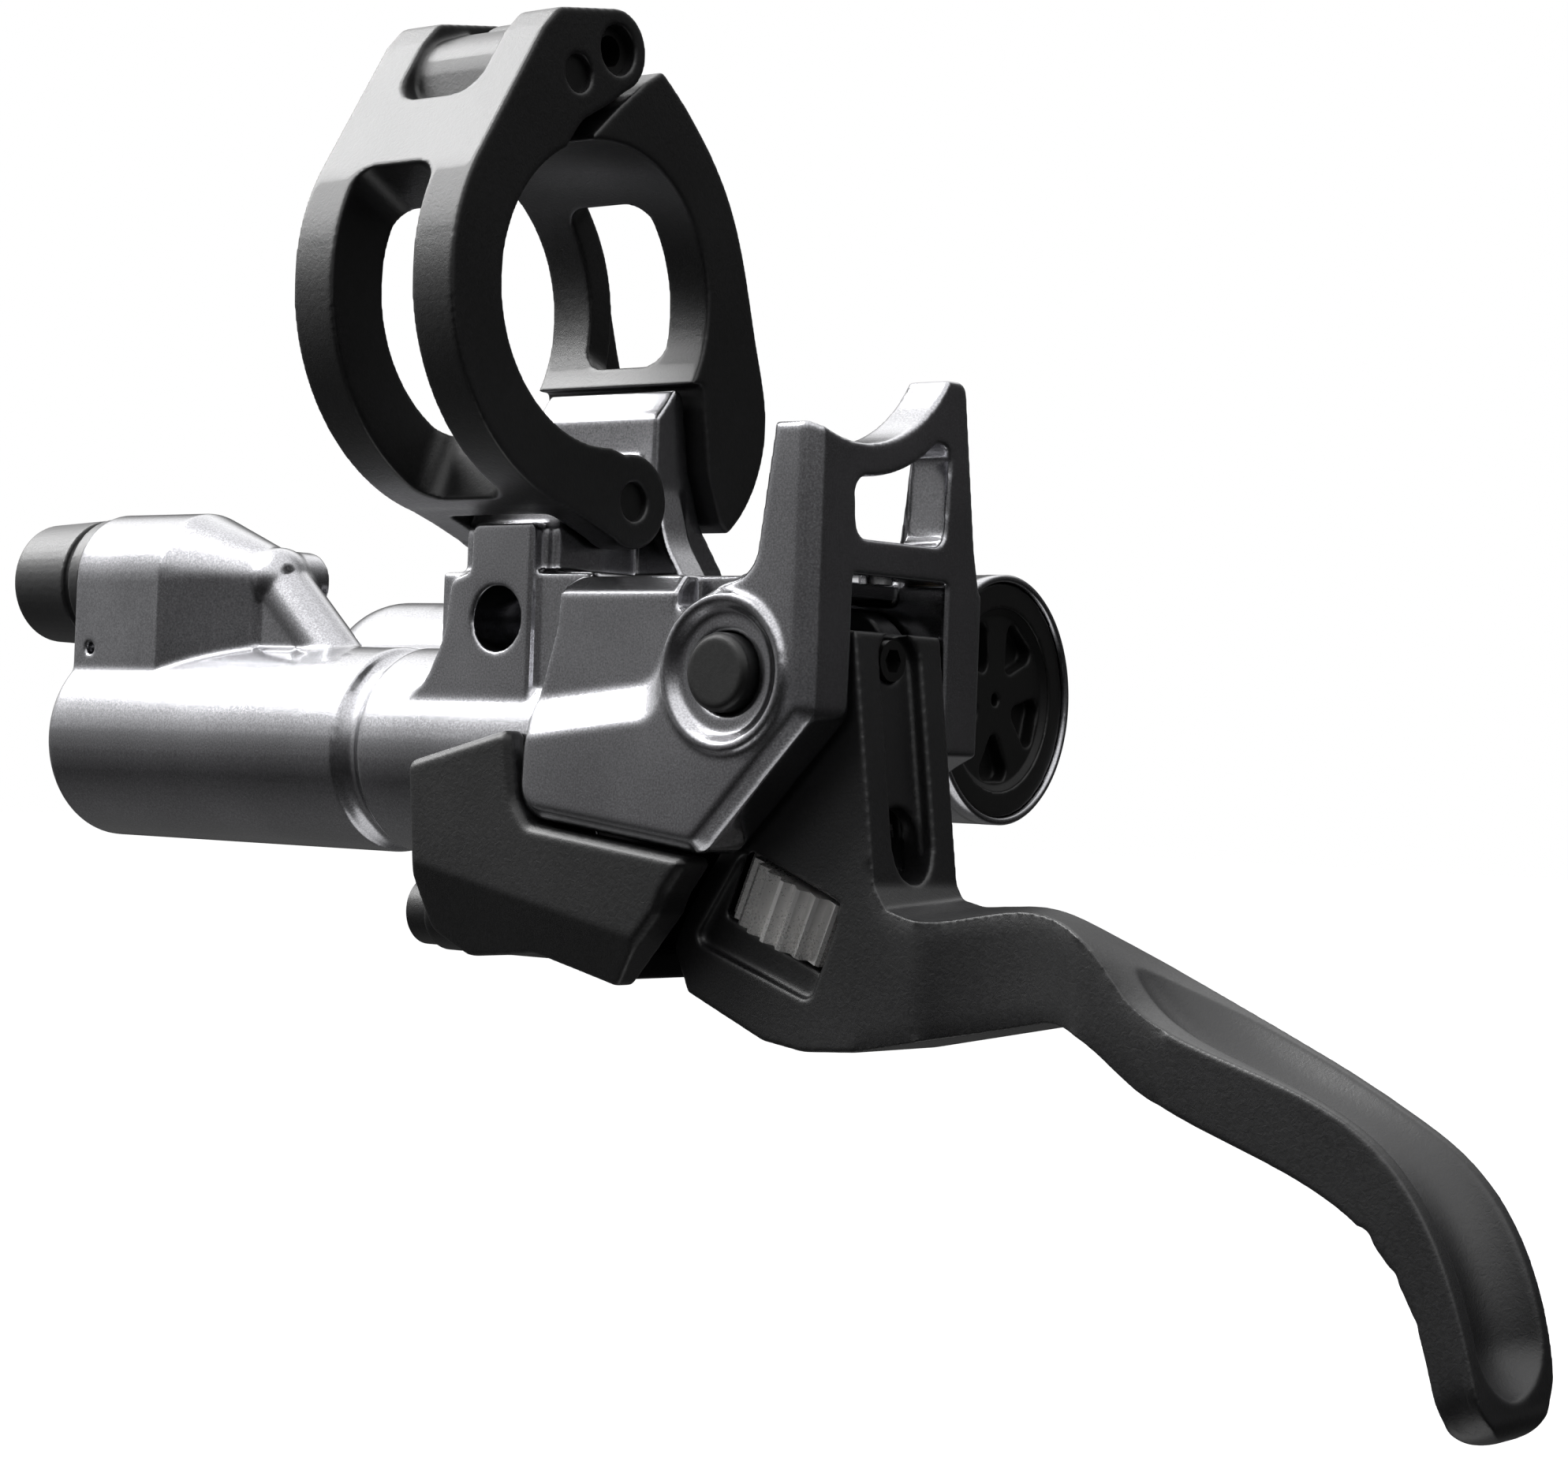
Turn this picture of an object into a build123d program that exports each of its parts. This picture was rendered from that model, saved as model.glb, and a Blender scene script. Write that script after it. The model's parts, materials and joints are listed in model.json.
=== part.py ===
"""Hydraulic brake lever with a hinged bar clamp, in millimetres.

Frame: origin at the middle of the bar clamp, on the bar's axis. +X runs outboard along the bar, +Z from the
lever towards the bar, +Y away from the viewer of the front plate.
"""

import os
from math import cos, hypot, radians, sin

from build123d import *

os.makedirs("parts", exist_ok=True)

# Bar and clamp
BAR_R = 11.1
CLAMP_HALF = 8.0
BAND_R = 16.2
SLOT_HALF = 4.0
FRONT_SLOT = (150.5, 249.5)
BACK_SLOT = (-20.0, 46.0)
HINGE = (0.1, 17.8)
NOSE_R = 3.0
HINGE_PIN_R = 1.8
STOP_PIN = (-4.0, 15.4)
STOP_PIN_R = 1.35
SHOULDER = (-0.847 * BAND_R, 0.531 * BAND_R)
NECK = (-0.333 * BAND_R, -0.938 * BAND_R)
EAR = (3.6, -14.8)
EAR_R = 3.5
EAR_PIN_R = 1.4
FORK_HALF = 5.0
BOLT_FOOT = (14.6, -12.0)
BOLT_TILT = 21.0
BOLT_R = 2.0

# Body
MID_Y = 4.9
LEVER_W = 9.8
CHANNEL = (MID_Y - LEVER_W / 2 - 0.45, MID_Y + LEVER_W / 2 + 0.45)
PLATE_Y = -5.2
BACK_Y = 14.4
PILLAR_X = (28.2, 31.9)
REST_R = 11.45
CYL_Z = -33.6
CYL_R = 8.0
CYL_END_X = -50.2
MOUTH_X = 8.6
SPRING_X = (CYL_END_X + 8.0, -15.2)
BORE_R = 4.8
HOSE_Z = -20.5
HOSE_BOSS_R = 5.7
HOSE_FACE_X = CYL_END_X + 0.3
NUT_R = 5.3
NUT_LONG = 8.2
HOSE_R = 2.6
BLEED = (-31.3, -20.4)
BLEED_BOSS_R = 2.6
BLEED_R = 1.5
BLEED_Y = (MID_Y + 0.6, MID_Y + 3.7)
STOP_SCREW = (29.6, MID_Y, -20.9)

# Reservoir
RES_ORIGIN = (27.5, 23.8, -28.3)
RES_YAW = 4.0
RES_R = 9.3
RES_SEAT_R = 8.75
RES_BORE_R = RES_SEAT_R - 1.35
CAP_R = RES_SEAT_R - 0.25
CAP_DEEP = 1.05
DISH_DEEP = 2.5

# Lower cover
COVER_SCREW = (0.5, -45.6)
COVER_SCREW_X = -6.4
COVER_Y = (-5.0, 13.4)
COVER_FOLD = (-42.8, -0.2)

# Lever, inner lever and link
PIVOT = (24.5, -27.5)
PIN_R = 2.5
LINK = (13.6, -25.4)
LINK_PIN_R = 1.5
CAM_REACH = 6.4
CAM_NOSE_R = 1.5
PULL_DEG = 24.0
LINK_ARM = 8.4
LINK_NOSE_R = 1.8
GAP = 0.3

# Reach adjuster
WHEEL = (26.3, -43.8)
WHEEL_AXIS = (0.37, 0.929)
WHEEL_R = 6.1
WHEEL_H = 4.6
WHEEL_POCKET_R = 6.5
FLUTES = 26
SCREW_R = 2.0
SCREW_TIP = 6.2

# Finger blade
TROUGH_R = 4.2
TROUGH_LIFT = 2.0
CAM_Y = (MID_Y - 2.0, MID_Y + 2.0)
FORK_Y = (MID_Y - 2.3, MID_Y + 2.3)

LINK_SPAN = hypot(LINK[0] - PIVOT[0], LINK[1] - PIVOT[1])
LINK_RATIO = CAM_REACH / (LINK_SPAN - CAM_REACH)
PISTON_FACE_X = LINK[0] + LINK_ARM * sin(radians(PULL_DEG * LINK_RATIO / 2)) - LINK_NOSE_R - GAP


def outline(points, radius):
    """Closed line through the points, with its corners rounded where a radius is given."""
    if radius:
        FilletPolyline(*points, radius=radius, close=True)
    else:
        Polyline(*points, close=True)


def slab_y(points, y_low, y_high, mode=Mode.ADD, radius=0):
    """Extrude an XZ outline between two Y stations."""
    with BuildSketch(Plane.XZ.offset(-y_high)) as face:
        with BuildLine():
            outline(points, radius)
        make_face()
    extrude(face.sketch, amount=y_high - y_low, dir=(0, -1, 0), mode=mode)


def slab_x(points, x_low, x_high, mode=Mode.ADD, radius=0):
    """Extrude a YZ outline between two X stations."""
    with BuildSketch(Plane.YZ.offset(x_low)) as face:
        with BuildLine():
            outline(points, radius)
        make_face()
    extrude(face.sketch, amount=x_high - x_low, dir=(1, 0, 0), mode=mode)


def arch(x, radius, centre_z, foot_z):
    """Round-topped section across the hose boss at one X station."""
    with BuildSketch(Plane.YZ.offset(x)) as face:
        with BuildLine():
            Polyline((MID_Y + radius, centre_z), (MID_Y + radius, foot_z), (MID_Y - radius, foot_z),
                     (MID_Y - radius, centre_z))
            ThreePointArc((MID_Y - radius, centre_z), (MID_Y, centre_z + radius), (MID_Y + radius, centre_z))
        make_face()
    return face.sketch


def rod(start, end, radius, mode=Mode.ADD):
    """Round bar between two points."""
    run = Vector(*end) - Vector(*start)
    with Locations(Plane(origin=start, z_dir=run)):
        Cylinder(radius, run.length, align=(Align.CENTER, Align.CENTER, Align.MIN), mode=mode)


def taper(start, end, radius_start, radius_end, mode=Mode.ADD):
    """Conical bar between two points."""
    run = Vector(*end) - Vector(*start)
    with Locations(Plane(origin=start, z_dir=run)):
        Cone(radius_start, radius_end, run.length, align=(Align.CENTER, Align.CENTER, Align.MIN), mode=mode)


def rod_x(centre, x_low, x_high, radius, mode=Mode.ADD):
    """Round bar along X through a YZ centre."""
    rod((x_low, centre[0], centre[1]), (x_high, centre[0], centre[1]), radius, mode)


def rod_y(centre, y_low, y_high, radius, mode=Mode.ADD):
    """Round bar along Y through an XZ centre."""
    rod((centre[0], y_low, centre[1]), (centre[0], y_high, centre[1]), radius, mode)


def wedge(angle_low, angle_high):
    """YZ outline of a sector around the bar, angles in degrees from +Y towards +Z."""
    middle = (angle_low + angle_high) / 2
    reach = [(angle_low, 30), (middle, 34), (angle_high, 30)]
    return [(0, 0)] + [(r * cos(radians(a)), r * sin(radians(a))) for a, r in reach]


def recess(y, points):
    """Section through the front plate's recess at one Y station."""
    with BuildSketch(Plane.XZ.offset(-y)) as face:
        with BuildLine():
            FilletPolyline(*points, radius=[0, 0, 5.0, 2.5, 0], close=True)
        make_face()
    return face.sketch


def fold(x, side_y, inward):
    """Section of what is trimmed off below the cover's fold at one X station."""
    crease = COVER_FOLD[0] + COVER_FOLD[1] * x
    with BuildSketch(Plane.YZ.offset(x)) as face:
        with BuildLine():
            Polyline((side_y - inward, crease + 2.5), (side_y - inward, crease - 12.5),
                     (side_y + 5 * inward, crease - 12.5), close=True)
        make_face()
    return face.sketch


def on_bolt(distance):
    """Point on the clamp bolt's axis, measured outwards from the foot's middle."""
    tilt = radians(BOLT_TILT)
    return (0, BOLT_FOOT[0] + distance * cos(tilt), BOLT_FOOT[1] + distance * sin(tilt))


def on_screw(distance):
    """Point on the reach screw's axis, measured from the wheel's middle towards the pivot."""
    return (WHEEL[0] + distance * WHEEL_AXIS[0], MID_Y, WHEEL[1] + distance * WHEEL_AXIS[1])


def in_reservoir(depth):
    """Point on the reservoir's axis, measured inwards from its rim."""
    yaw = radians(RES_YAW)
    return (RES_ORIGIN[0] - depth * cos(yaw), RES_ORIGIN[1] - depth * sin(yaw), RES_ORIGIN[2])


def beside(points, distances):
    """Points moved along their path's normal, to the left of its direction."""
    moved = []
    for index, (x, z) in enumerate(points):
        before = points[max(index - 1, 0)]
        after = points[min(index + 1, len(points) - 1)]
        run = hypot(after[0] - before[0], after[1] - before[1])
        step = distances[index] / run
        moved.append((x - step * (after[1] - before[1]), z + step * (after[0] - before[0])))
    return moved


def turned(point, centre, angle):
    """XZ point turned about a centre, positive from +X towards +Z."""
    dx, dz = point[0] - centre[0], point[1] - centre[1]
    c, s = cos(radians(angle)), sin(radians(angle))
    return (centre[0] + dx * c - dz * s, centre[1] + dx * s + dz * c)


# Where the inner lever's nose starts, and its track as the link sees it
TO_LINK = ((LINK[0] - PIVOT[0]) / LINK_SPAN, (LINK[1] - PIVOT[1]) / LINK_SPAN)
NOSE = (PIVOT[0] + CAM_REACH * TO_LINK[0], PIVOT[1] + CAM_REACH * TO_LINK[1])
NOSE_TRACK = [
    turned(turned(NOSE, PIVOT, pull), LINK, pull * LINK_RATIO)
    for pull in [PULL_DEG * step / 10 for step in range(-1, 12)]
]

# Front plate's outline and corner radii
PLATE = [
    (7.8, -20.6), (31.9, -20.6), (31.9, -30.3), (22.5, -40.1), (4.9, -38.0), (5.1, -32.7), (7.6, -24.2),
]
PLATE_ROUND = [1.7, 1.7, 1.7, 1.7, 2.6, 5.0, 3.0]
RECESS_FLOOR = [(2.0, -18.0), (20.9, -18.0), (19.2, -24.4), (17.0, -28.3), (2.0, -30.0)]
RECESS_MOUTH = [(2.0, -18.0), (22.9, -18.0), (21.2, -25.0), (18.7, -32.1), (2.0, -34.2)]

with BuildPart() as lever_body:
    slab_y(PLATE, PLATE_Y, BACK_Y, radius=PLATE_ROUND)
    chamfer(lever_body.edges().group_by(Axis.Y)[0], 1.0)
    # recessed upper face with sloped sides, a sloped top and the flare below the front pillar
    loft([recess(PLATE_Y + 1.3, RECESS_FLOOR), recess(PLATE_Y - 0.6, RECESS_MOUTH)], ruled=True,
         mode=Mode.SUBTRACT)
    slab_x([(-9.0, -28.4), (-9.0, -19.0), (-1.6, -19.0)], 5.0, 21.2, Mode.SUBTRACT)
    slab_y([(19.0, -18.0), (26.6, -18.0), (25.4, -20.6), (21.4, -22.9), (19.0, -23.0)],
           -9.0, -1.6, Mode.SUBTRACT, radius=[0, 0, 2.4, 2.4, 0])
    # cylinder with a rounded end and a groove
    rod_x((MID_Y, CYL_Z), CYL_END_X, 9.5, CYL_R)
    fillet(lever_body.edges().filter_by(GeomType.CIRCLE).group_by(Axis.X)[0], 0.7)
    with Locations(Plane(origin=(-14.7, MID_Y, CYL_Z), z_dir=(1, 0, 0))):
        Torus(CYL_R + 0.8, 1.55, mode=Mode.SUBTRACT)
    # yoke, its knuckle and the left post
    slab_x(
        [(7.6, -7.0), (9.0, -5.9), (10.4, -5.9), (11.4, -12.0), (13.0, -16.0), (16.0, -19.6), (16.0, -30.0),
         (7.6, -30.0)],
        -6.4, 6.4, radius=[0.8, 0.8, 0.8, 0, 0, 2.0, 0, 0],
    )
    slab_y([(6.0, -9.0), (6.3, -13.0), (7.5, -17.4), (9.6, -20.4), (6.0, -20.4)], 7.6, 10.6,
           radius=[0, 6.0, 6.0, 0, 0])
    slab_x([(-0.9, -30.0), (-0.9, -17.0), (1.4, -12.2), (7.6, -11.0), (7.6, -30.0)], -4.7, 4.7,
           radius=[0, 2.0, 2.0, 0, 0])
    slab_y(
        [(-3.0, -16.6), (3.3, -16.6), (3.3, -31.0), (-11.0, -31.0), (-7.3, -28.3), (-5.6, -25.0),
         (-5.0, -20.8), (-3.0, -20.2)],
        -2.1, 7.6, radius=[0.8, 0, 0, 0, 5.0, 5.0, 0.8, 0.6],
    )
    slab_x([(-1.5, -20.2), (15.0, -20.2), (16.0, -34.0), (-1.5, -34.0)], -6.4, 9.0)
    # bar rest
    slab_x(
        [(PLATE_Y, -10.3), (-3.0, -10.3), (8.9, -6.2), (11.7, -6.2), (13.4, -18.0), (BACK_Y, -22.0),
         (BACK_Y, -26.0), (PLATE_Y, -26.0)],
        *PILLAR_X, radius=[0.5, 0, 0, 0.9, 4.0, 2.0, 0, 0],
    )
    for y_low, y_high in ((PLATE_Y, CHANNEL[0]), (CHANNEL[1], 13.4)):
        slab_y([(23.4, -21.8), (26.9, -20.6), (28.3, -10.6), (29.0, -10.6), (29.0, -22.6)], y_low, y_high,
               radius=[0, 2.6, 0, 0, 0])
    slab_y([(26.5, -21.0), (31.9, -21.0), (31.9, -32.6), (28.5, -34.5), (22.5, -40.1)], CHANNEL[1], BACK_Y)
    # hose boss, its taper, the bleed boss and the strut down to the cylinder
    loft([arch(HOSE_FACE_X, HOSE_BOSS_R, HOSE_Z, -31.0), arch(-39.4, HOSE_BOSS_R, HOSE_Z, -31.0)], ruled=True)
    loft([arch(-39.4, HOSE_BOSS_R, HOSE_Z, -31.0), arch(BLEED[0], BLEED_BOSS_R, BLEED[1], -31.0)], ruled=True)
    strut_top = (BLEED[0], MID_Y, BLEED[1])
    with Locations(strut_top):
        Sphere(BLEED_BOSS_R + 0.15)
    rod_y(BLEED, MID_Y - 0.3, MID_Y + 3.3, BLEED_BOSS_R - 0.1)
    rod(strut_top, (-20.3, MID_Y, -30.4), BLEED_BOSS_R - 0.25)
    slab_y([BLEED, (-20.3, -30.4), (-20.3, -31.6), (BLEED[0], -31.6)], MID_Y - 1.6, MID_Y + 1.6)
    # reservoir and the web that joins it to the cylinder
    rod(in_reservoir(0), in_reservoir(17), RES_R)
    taper(in_reservoir(17), in_reservoir(54), RES_R, 7.0)
    rod(in_reservoir(54), in_reservoir(58.5), 7.0)
    with Locations(in_reservoir(58.5)):
        Sphere(7.0)
    slab_x([(5.0, -41.0), (22.0, -36.0), (22.0, -23.0), (8.0, -26.6)], -30.0, 5.2)
    slab_x([(11.0, -36.4), (19.0, -36.4), (19.0, -21.0), (11.0, -21.0)], 5.2, 25.0)
    # channel for the lever and the link
    slab_y(
        [(MOUTH_X, -21.8), (27.2, -21.8), (27.4, -20.5), (40.0, -20.5), (40.0, -50.0), (MOUTH_X, -50.0)],
        *CHANNEL, mode=Mode.SUBTRACT,
    )
    rod_x((MID_Y, CYL_Z), CYL_END_X + 6.2, 20.0, BORE_R, Mode.SUBTRACT)
    rod_x((MID_Y, CYL_Z), 5.6, 6.8, BORE_R + 0.7, Mode.SUBTRACT)
    rod_x((0, 0), 20.0, 40.0, REST_R, Mode.SUBTRACT)
    rod_x((0, 0), -20.0, 20.0, BAR_R, Mode.SUBTRACT)
    with BuildSketch(Plane.YZ.offset(20.0)) as opening:
        with BuildLine():
            Polyline((-1.3, -7.0), (10.4, -7.0), (9.8, -18.0), (-0.2, -18.0), close=True)
        make_face()
        Circle(REST_R + 2.3, mode=Mode.SUBTRACT)
        fillet(opening.vertices(), 1.2)
    extrude(opening.sketch, amount=20.0, dir=(1, 0, 0), mode=Mode.SUBTRACT)
    with BuildSketch(Plane.XY.offset(-30.2)) as bevel:
        with BuildLine():
            Polyline((PILLAR_X[1] - 1.0, PLATE_Y), (PILLAR_X[1], PLATE_Y - 1.0), (PILLAR_X[1] + 1.0, PLATE_Y),
                     (PILLAR_X[1], PLATE_Y + 1.0), close=True)
        make_face()
    extrude(bevel.sketch, amount=22.0, dir=(0, 0, 1), mode=Mode.SUBTRACT)
    # dished pad around the pin
    rod_y(PIVOT, PLATE_Y - 0.4, CHANNEL[0], 5.5)
    taper((PIVOT[0], PLATE_Y - 0.5, PIVOT[1]), (PIVOT[0], PLATE_Y + 0.3, PIVOT[1]), 5.0, 4.2, Mode.SUBTRACT)
    rod_y(PIVOT, PLATE_Y - 1, 13.2, PIN_R + 0.05, Mode.SUBTRACT)
    rod_y(PIVOT, PLATE_Y - 1, PLATE_Y + 1.2, PIN_R + 0.35, Mode.SUBTRACT)
    rod_y(PIVOT, 10.9, 11.7, 3.5, Mode.SUBTRACT)
    rod_y(LINK, -3.2, 12.9, LINK_PIN_R + 0.01, Mode.SUBTRACT)
    rod(STOP_SCREW, (STOP_SCREW[0], STOP_SCREW[1], STOP_SCREW[2] + 2.7), 1.22, Mode.SUBTRACT)
    # accessory hole in the post, clamp bolt hole, knuckle pin hole
    rod_y((-0.2, -23.7), -6.0, 6.0, 2.4, Mode.SUBTRACT)
    rod(on_bolt(-9.2), on_bolt(6.0), BOLT_R + 0.45, Mode.SUBTRACT)
    rod_x(EAR, -10.0, 10.0, EAR_PIN_R + 0.03, Mode.SUBTRACT)
    slab_y([(11.0, -19.5), (20.5, -19.5), (20.5, -22.5), (11.0, -22.5)], 1.6, 8.2, Mode.SUBTRACT, radius=0.9)
    slab_y([(9.4, -18.5), (13.8, -18.5), (13.8, -22.5), (9.4, -22.5)], -2.8, 3.0, Mode.SUBTRACT, radius=0.9)
    # hose port, bleed port, cap seat
    rod_x((MID_Y, HOSE_Z), HOSE_FACE_X - 0.5, HOSE_FACE_X + 7.5, HOSE_R + 1.0, Mode.SUBTRACT)
    rod_x((MID_Y, HOSE_Z), HOSE_FACE_X + 6.5, BLEED[0], 1.2, Mode.SUBTRACT)
    rod((HOSE_FACE_X + 10.0, MID_Y, HOSE_Z), (HOSE_FACE_X + 12.0, MID_Y, CYL_Z), 1.0, Mode.SUBTRACT)
    rod_y(BLEED, MID_Y + 0.4, MID_Y + 5.0, BLEED_R + 0.02, Mode.SUBTRACT)
    rod((HOSE_FACE_X + 2.1, -2.0, -26.2), (HOSE_FACE_X + 2.1, 0.4, -26.2), 0.5, Mode.SUBTRACT)
    rod(in_reservoir(-1), in_reservoir(6.0), RES_SEAT_R, Mode.SUBTRACT)
    rod(in_reservoir(5.0), in_reservoir(30.0), RES_BORE_R, Mode.SUBTRACT)
lever_body.part.label = "lever_body"
export_step(lever_body.part, "parts/lever_body.step")

with BuildPart() as top_recess:
    slab_x([(-12.6, 13.7), (-8.7, 12.9), (-8.2, 17.7), (-3.4, 19.5), (-2.0, 17.0), (-0.6, 12.0), (4.0, 12.0),
            (4.0, 22.0), (-14.0, 22.0)],
           -SLOT_HALF, SLOT_HALF, radius=[0, 0, 4.0, 0, 0, 0, 0, 0, 0])
    lower_corners = [
        edge for edge in top_recess.edges().filter_by(GeomType.LINE)
        if abs(abs(edge.center().X) - SLOT_HALF) < 0.01 and edge.center().Y < -9.2 and edge.center().Z < 14.2
    ]
    fillet(lower_corners, 2.2)

with BuildPart() as clamp_front:
    rod_x((0, 0), -CLAMP_HALF, CLAMP_HALF, BAND_R)
    slab_x([(-4.9, 9.0), (-4.9, 20.0), (20.0, 20.0), (20.0, -20.0), (4.6, -20.0), (4.6, -12.0), (1.0, -11.05),
            (1.0, 0.0)],
           -9.0, 9.0, Mode.SUBTRACT)
    slab_x(
        [SHOULDER, (-7.9, 18.1), (-6.3, 19.8), (-0.4, 20.75), (2.3, 15.75), (-0.8, 13.6), (-3.4, 12.1),
         (-5.0, 9.9)],
        -CLAMP_HALF, CLAMP_HALF, radius=[0, 3.0, 1.6, 0, 0, 2.0, 2.0, 0],
    )
    rod_x(HINGE, -CLAMP_HALF, CLAMP_HALF, NOSE_R)
    rod_x(EAR, -CLAMP_HALF, CLAMP_HALF, EAR_R)
    slab_x([NECK, (-1.2, -16.6), (1.4, -17.6), (EAR[0], EAR[1] - EAR_R), EAR],
           -CLAMP_HALF, CLAMP_HALF)
    rod_x((0, 0), -9.0, 9.0, BAR_R, Mode.SUBTRACT)
    slab_x(wedge(*FRONT_SLOT), -SLOT_HALF, SLOT_HALF, Mode.SUBTRACT)
    slot_corners = [
        edge for edge in clamp_front.edges().filter_by(GeomType.LINE)
        if abs(abs(edge.center().X) - SLOT_HALF) < 0.01 and edge.length > 0.8 * (BAND_R - BAR_R)
    ]
    fillet(slot_corners, 1.9)
    with Locations((0, EAR[0] - 0.2, EAR[1] - 0.2)):
        Box(2 * FORK_HALF, 11.4, 9.0, mode=Mode.SUBTRACT)
    # shallow recess on the top, and the pocket for the far half's knuckle
    rod_x(HINGE, -SLOT_HALF, SLOT_HALF, NOSE_R + 0.4, Mode.SUBTRACT)
    add(top_recess.part, mode=Mode.SUBTRACT)
    rod_x(HINGE, -9.0, 9.0, HINGE_PIN_R + 0.02, Mode.SUBTRACT)
    rod_x(STOP_PIN, -9.0, 9.0, STOP_PIN_R + 0.02, Mode.SUBTRACT)
    rod_x(EAR, -9.0, 9.0, EAR_PIN_R + 0.03, Mode.SUBTRACT)
clamp_front.part.label = "clamp_front"
export_step(clamp_front.part, "parts/clamp_front.step")

with BuildPart() as clamp_back:
    with BuildSketch(Plane.YZ.offset(-CLAMP_HALF)) as far_half:
        with BuildLine():
            Spline((5.0, 17.1), (9.6, 13.2), (13.3, 8.4), (15.2, 4.0), (17.0, -2.0), (18.4, -7.6),
                   (17.6, -12.0), (14.3, -16.4))
            Polyline((14.3, -16.4), (13.4, -15.7), (11.8, -12.0), (10.8, -5.5), (8.0, -5.5), (0.0, 0.0),
                     (-2.2, 9.0), (-2.2, 11.3), (0.4, 13.7), (3.2, 16.0), (5.0, 17.1))
        make_face()
    extrude(far_half.sketch, amount=2 * CLAMP_HALF, dir=(1, 0, 0))
    rod_x(HINGE, -9.0, 9.0, NOSE_R + 0.4, Mode.SUBTRACT)
    rod_x((0, 0), -9.0, 9.0, BAR_R, Mode.SUBTRACT)
    with BuildSketch(Plane.YZ.offset(-CLAMP_HALF + 1.8)) as pocket:
        with BuildLine():
            Polyline(*wedge(BACK_SLOT[0] - 3.0, BACK_SLOT[1] + 3.0), close=True)
        make_face()
        Circle(BAR_R + 2.5, mode=Mode.SUBTRACT)
    extrude(pocket.sketch, amount=2 * CLAMP_HALF - 3.6, dir=(1, 0, 0), mode=Mode.SUBTRACT)
    slab_x(wedge(*BACK_SLOT), -SLOT_HALF, SLOT_HALF, Mode.SUBTRACT)
    slot_corners = [
        edge for edge in clamp_back.edges().filter_by(GeomType.LINE)
        if abs(abs(edge.center().X) - SLOT_HALF) < 0.01 and edge.length > 1.5
    ]
    fillet(slot_corners, 1.9)
    rod_x(HINGE, -3.6, 3.6, 2.9)
    slab_x([(0.1, 14.9), (3.0, 17.8), (5.0, 17.1), (7.0, 15.0), (3.0, 13.0)], -3.6, 3.6)
    rod_x(HINGE, -9.0, 9.0, HINGE_PIN_R + 0.05, Mode.SUBTRACT)
    rod(on_bolt(-6.0), on_bolt(3.0), BOLT_R + 0.2, Mode.SUBTRACT)
    rod(on_bolt(0.6), on_bolt(8.0), 3.6, Mode.SUBTRACT)
clamp_back.part.label = "clamp_back"
export_step(clamp_back.part, "parts/clamp_back.step")

with BuildPart() as clamp_bolt:
    rod(on_bolt(-7.4), on_bolt(1.1), BOLT_R)
    rod(on_bolt(1.1), on_bolt(3.7), 3.3)
    with BuildSketch(Plane(origin=on_bolt(3.7), z_dir=Vector(*on_bolt(1)) - Vector(*on_bolt(0)))):
        RegularPolygon(1.45, 6)
    extrude(amount=-1.8, mode=Mode.SUBTRACT)
clamp_bolt.part.label = "clamp_bolt"
export_step(clamp_bolt.part, "parts/clamp_bolt.step")

with BuildPart() as clamp_washer:
    rod(on_bolt(0.6), on_bolt(1.1), 3.45)
    rod(on_bolt(0.5), on_bolt(1.2), BOLT_R + 0.15, Mode.SUBTRACT)
clamp_washer.part.label = "clamp_washer"
export_step(clamp_washer.part, "parts/clamp_washer.step")

with BuildPart() as clamp_hinge_pin:
    rod_x(HINGE, -7.0, 7.0, HINGE_PIN_R)
    rod_x(HINGE, -8.0, -4.4, 1.15, Mode.SUBTRACT)
    rod_x(HINGE, 4.4, 8.0, 1.15, Mode.SUBTRACT)
clamp_hinge_pin.part.label = "clamp_hinge_pin"
export_step(clamp_hinge_pin.part, "parts/clamp_hinge_pin.step")

with BuildPart() as clamp_stop_pin:
    rod_x(STOP_PIN, -7.4, 7.4, STOP_PIN_R)
clamp_stop_pin.part.label = "clamp_stop_pin"
export_step(clamp_stop_pin.part, "parts/clamp_stop_pin.step")

with BuildPart() as clamp_front_pin:
    rod_x(EAR, -7.4, 7.4, EAR_PIN_R)
clamp_front_pin.part.label = "clamp_front_pin"
export_step(clamp_front_pin.part, "parts/clamp_front_pin.step")

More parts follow.
